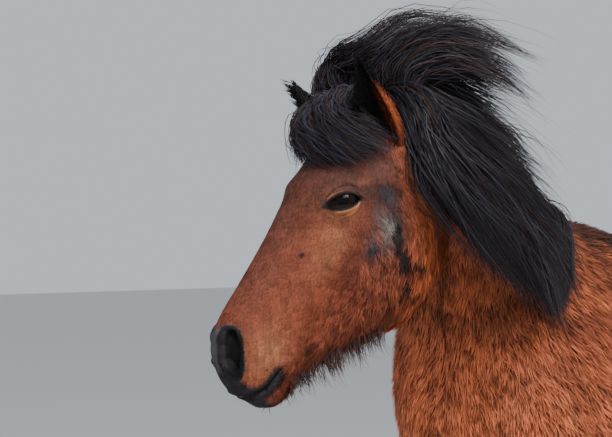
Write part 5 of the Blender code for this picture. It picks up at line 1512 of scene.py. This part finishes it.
def ear_object(name):
    """An upright ear with a cup in its front, closed below and drawn out to a point."""
    base, length, axis, opening = ear_lines(name)
    base, axis, opening = from_head(base), axis @ HEAD_AXES, opening @ HEAD_AXES
    opening = unit(across_only(opening, axis))
    across = np.cross(axis, opening)
    at = np.linspace(0, 1, EAR_RINGS)
    widths = smooth(np.linspace(0, 1, len(EAR_WIDTH)), EAR_WIDTH, at)
    cups = np.interp(at, np.linspace(0, 1, len(EAR_CUP)), EAR_CUP)
    half = EAR_SIDES // 2
    rings = []
    for t, width, cup in zip(at, widths, cups):
        middle = base + axis * (length * t - 0.02 * (1 - t))
        middle = middle + opening * (0.010 * math.sin(math.pi * t) - 0.006 * t)
        wall = max(0.0026, 0.16 * width)
        back, front = [], []
        for j in range(half):
            turn = math.pi * (2.12 - 1.24 * j / (half - 1))
            back.append(middle + across * width * math.cos(turn) + opening * 0.95 * width * math.sin(turn))
        for j, rim in enumerate(reversed(back)):
            reach = np.linalg.norm(middle - rim)
            deep = wall + (1 - cup) * max(0.0, reach - wall) * math.sin(math.pi * (j + 0.5) / half)
            front.append(rim + (middle - rim) / reach * min(deep, reach * 0.92))
        rings.append(np.array(back + front))
    return loft("ear_skin_" + name, rings)


def ear_colour(points, name, inner):
    """Black at the tip and in the cup, and orange brown at the rear edge and the foot."""
    base, length, axis, opening = ear_lines(name)
    local = to_head(points) - base
    t = local @ axis / length
    rearward = local @ np.cross(axis, opening) * (-1 if name == "left" else 1)
    tone = np.tile(BLACK, (len(points), 1))
    rear = step(rearward, 0.008, 0.022) * step(t, 0.80, 0.45)
    tone = blend(tone, RUST, 0.8 * rear * (1 - 0.7 * inner))
    return blend(tone, DARK_RED, 0.6 * step(t, 0.30, 0.05) * (1 - inner))


def add_ears():
    ears = []
    for name in EARS:
        ear = ear_object(name)
        soften = ear.modifiers.new("soften", "SUBSURF")
        soften.levels = 1
        soften.render_levels = 1
        apply_modifiers(ear)
        points = mesh_points(ear.data)
        paint(ear.data, ear_colour(points, name, np.zeros(len(points))))
        shade_smooth(ear.data)
        ears.append(ear)
    return ears


def grow_ear_fur(ears, rng):
    """Short fur on the outside of the ears and longer dark hair that fills their cups."""
    made = []
    for name, ear in zip(EARS, ears):
        base, _, axis, opening = ear_lines(name)
        base, axis, opening = from_head(base), axis @ HEAD_AXES, opening @ HEAD_AXES
        roots, outward = scattered(ear.data, np.full(len(ear.data.vertices), EAR_DENSITY * DRAWN), rng)
        inner = step((unit(across_only(roots - base, axis)) * outward).sum(axis=1), 0.2, -0.3)
        count = len(roots)
        length = ((0.008 + 0.016 * inner) * rng.uniform(0.7, 1.2, count))[:, None]
        way = axis + 0.20 * outward + 0.55 * inner[:, None] * opening + rng.normal(0, 0.10, (count, 3))
        way = unit(way)
        mids = roots + way * (0.5 * length) + outward * (0.0012 + 0.002 * inner)[:, None]
        light = np.clip(0.95 + rng.normal(0, 0.25, count), 0.4, 1.7)[:, None]
        tone = ear_colour(roots, name, inner) * light
        # Darker roots and lighter tips, as on the coat: painted shade in the fur and painted light on its
        # tips.
        made += tuft_pieces("ear_fur_" + name, roots - outward * 0.0006, mids, roots + way * length,
                            np.full(count, EAR_FUR_WIDTH), outward, tone * 0.6, tone * 1.2,
                            unwrap(roots, np.ones(count)))
    return made


def add_eyes(level):
    """The eyeballs, each a little flattened ball with a dark iris and a pupil that lies across."""
    eyes = []
    for name, side in (("left", 1), ("right", -1)):
        slit, above, out = EYE_AXES * (1, 1, side)
        middle = (*EYE_MIDDLE, side * level) - EYE_DEPTH * out
        turn = turns(EYE_SIDES)[:, None]
        rings = []
        for polar in np.arange(1, EYE_RINGS) * math.pi / EYE_RINGS:
            ring = middle + EYEBALL[2] * math.cos(polar) * out
            ring = ring + EYEBALL[0] * math.sin(polar) * np.cos(turn) * slit
            rings.append(from_head(ring + EYEBALL[1] * math.sin(polar) * np.sin(turn) * above))
        eye = loft("eyeball_" + name, rings)
        u, v, w = to_head(mesh_points(eye.data)).T
        a, b, _ = to_eye(u, v, np.abs(w), level)
        iris = step(np.hypot(a / IRIS[0], b / IRIS[1]), 1.05, 0.90)
        pupil = step(np.hypot(a / PUPIL[0], b / PUPIL[1]), 1.15, 0.85)
        tone = blend(np.tile(EYE_RIM, (len(a), 1)), EYE_BROWN, iris)
        paint(eye.data, blend(tone, INSIDE_BLACK, pupil))
        shade_smooth(eye.data)
        eyes.append(eye)
    return eyes


def principled(name, roughness, specular, colour=None):
    """A plain material, in the colour given or else in the colours painted on the mesh."""
    material = bpy.data.materials.new(name)
    material.use_nodes = True
    shader = material.node_tree.nodes["Principled BSDF"]
    shader.inputs["Roughness"].default_value = roughness
    shader.inputs["Specular IOR Level"].default_value = specular
    if colour is not None:
        shader.inputs["Base Color"].default_value = (*colour, 1.0)
        return material
    tone = material.node_tree.nodes.new("ShaderNodeVertexColor")
    tone.layer_name = "coat_colour"
    material.node_tree.links.new(tone.outputs["Color"], shader.inputs["Base Color"])
    return material


def bumped(material, scale, distance, stretch=(1, 1, 1)):
    """Adds fine noise relief to a material."""
    tree = material.node_tree
    place = tree.nodes.new("ShaderNodeTexCoord")
    mapping = tree.nodes.new("ShaderNodeMapping")
    mapping.inputs["Scale"].default_value = stretch
    noise = tree.nodes.new("ShaderNodeTexNoise")
    noise.inputs["Scale"].default_value = scale
    noise.inputs["Detail"].default_value = 4
    bump = tree.nodes.new("ShaderNodeBump")
    bump.inputs["Distance"].default_value = distance
    bump.inputs["Strength"].default_value = 0.6
    tree.links.new(place.outputs["Object"], mapping.inputs["Vector"])
    tree.links.new(mapping.outputs["Vector"], noise.inputs["Vector"])
    tree.links.new(noise.outputs["Fac"], bump.inputs["Height"])
    tree.links.new(bump.outputs["Normal"], tree.nodes["Principled BSDF"].inputs["Normal"])
    return material


def add_camera():
    camera = bpy.data.cameras.new("camera")
    camera.lens = CAMERA_LENS_MM
    camera.sensor_width = CAMERA_SENSOR_MM
    camera.clip_start = 0.1
    camera.clip_end = 60
    holder = add_object("camera", camera)
    holder.location = Vector(CAMERA_PLACE + SHIFT)
    holder.rotation_mode = "XYZ"
    holder.rotation_euler = (math.radians(90 + CAMERA_UP_DEG), 0, math.radians(CAMERA_TURN_DEG))
    bpy.context.scene.camera = holder


def add_lights():
    """A high key lamp, and wider, weaker lamps that light the model but don't mirror in the eyes."""
    for name, place, size, power_w, tint, mirrored in LAMPS:
        lamp = bpy.data.lights.new(name, "AREA")
        lamp.size = size
        lamp.energy = power_w
        lamp.color = tint
        holder = add_object(name, lamp)
        holder.location = place
        holder.visible_glossy = mirrored
        holder.rotation_mode = "QUATERNION"
        holder.rotation_quaternion = (LAMPS_AIM - Vector(place)).to_track_quat("-Z", "Y")


def add_room():
    corners = np.array(((-1, -1, 0), (1, -1, 0), (1, 1, 0), (-1, 1, 0))) * FLOOR_HALF
    floor = fast_mesh("floor", corners, np.array(((0, 1, 2), (0, 2, 3))))
    floor.data.materials.append(principled("floor_paint", 0.85, 0.5, FLOOR_GREY))
    world = bpy.data.worlds.new("room")
    world.use_nodes = True
    background = world.node_tree.nodes["Background"]
    background.inputs["Color"].default_value = SKY
    background.inputs["Strength"].default_value = SKY_STRENGTH
    bpy.context.scene.world = world


def main():
    rng = np.random.default_rng(SEED)
    skin, head_tree, level = add_skin()
    coat, tree = grow_coat(skin, head_tree, level, rng)
    hair = [piece for grow in (grow_mane, grow_top, grow_forelock, grow_beard) for piece in grow(tree, rng)]
    hair += grow_lashes(level, rng)
    tail = grow_tail(tree, rng)
    ears = add_ears()
    ear_fur = grow_ear_fur(ears, rng)
    eyes = add_eyes(level)
    coat_material = bumped(principled("coat", 0.70, 0.16), 260, 0.0012)
    hair_material = principled("long_hair", 0.52, 0.15)
    eye_material = principled("eye", 0.04, 0.16)
    pieces = [(skin, "coat", coat_material)]
    pieces += [(piece, slot_name, coat_material) for piece, slot_name in coat]
    pieces += [(piece, "dark_coat", hair_material) for piece in hair]
    pieces += [(piece, "tail_hair", hair_material) for piece in tail]
    pieces += [(piece, "ear_coat", coat_material) for piece in ears + ear_fur]
    pieces += [(piece, "eye", eye_material) for piece in eyes]
    for piece, slot_name, material in pieces:
        piece.data.materials.clear()
        piece.data.materials.append(material)
        place_points(piece.data, mesh_points(piece.data) + SHIFT)
        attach(piece, "root")
    flesh = [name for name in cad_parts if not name.startswith(("hoof_", "eye_", "ear_", "tail"))]
    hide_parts(*sorted(flesh))
    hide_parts("ear_left")
    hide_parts("ear_right")
    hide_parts("eye_left")
    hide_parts("eye_right")
    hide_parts("tail")
    horn = bumped(principled("hoof", 0.45, 0.5, HORN), 60, 0.0008, (1, 1, 12))
    for name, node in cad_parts.items():
        if name.startswith("hoof_"):
            node.data.materials.clear()
            node.data.materials.append(horn)
    add_room()
    add_lights()
    add_camera()


main()
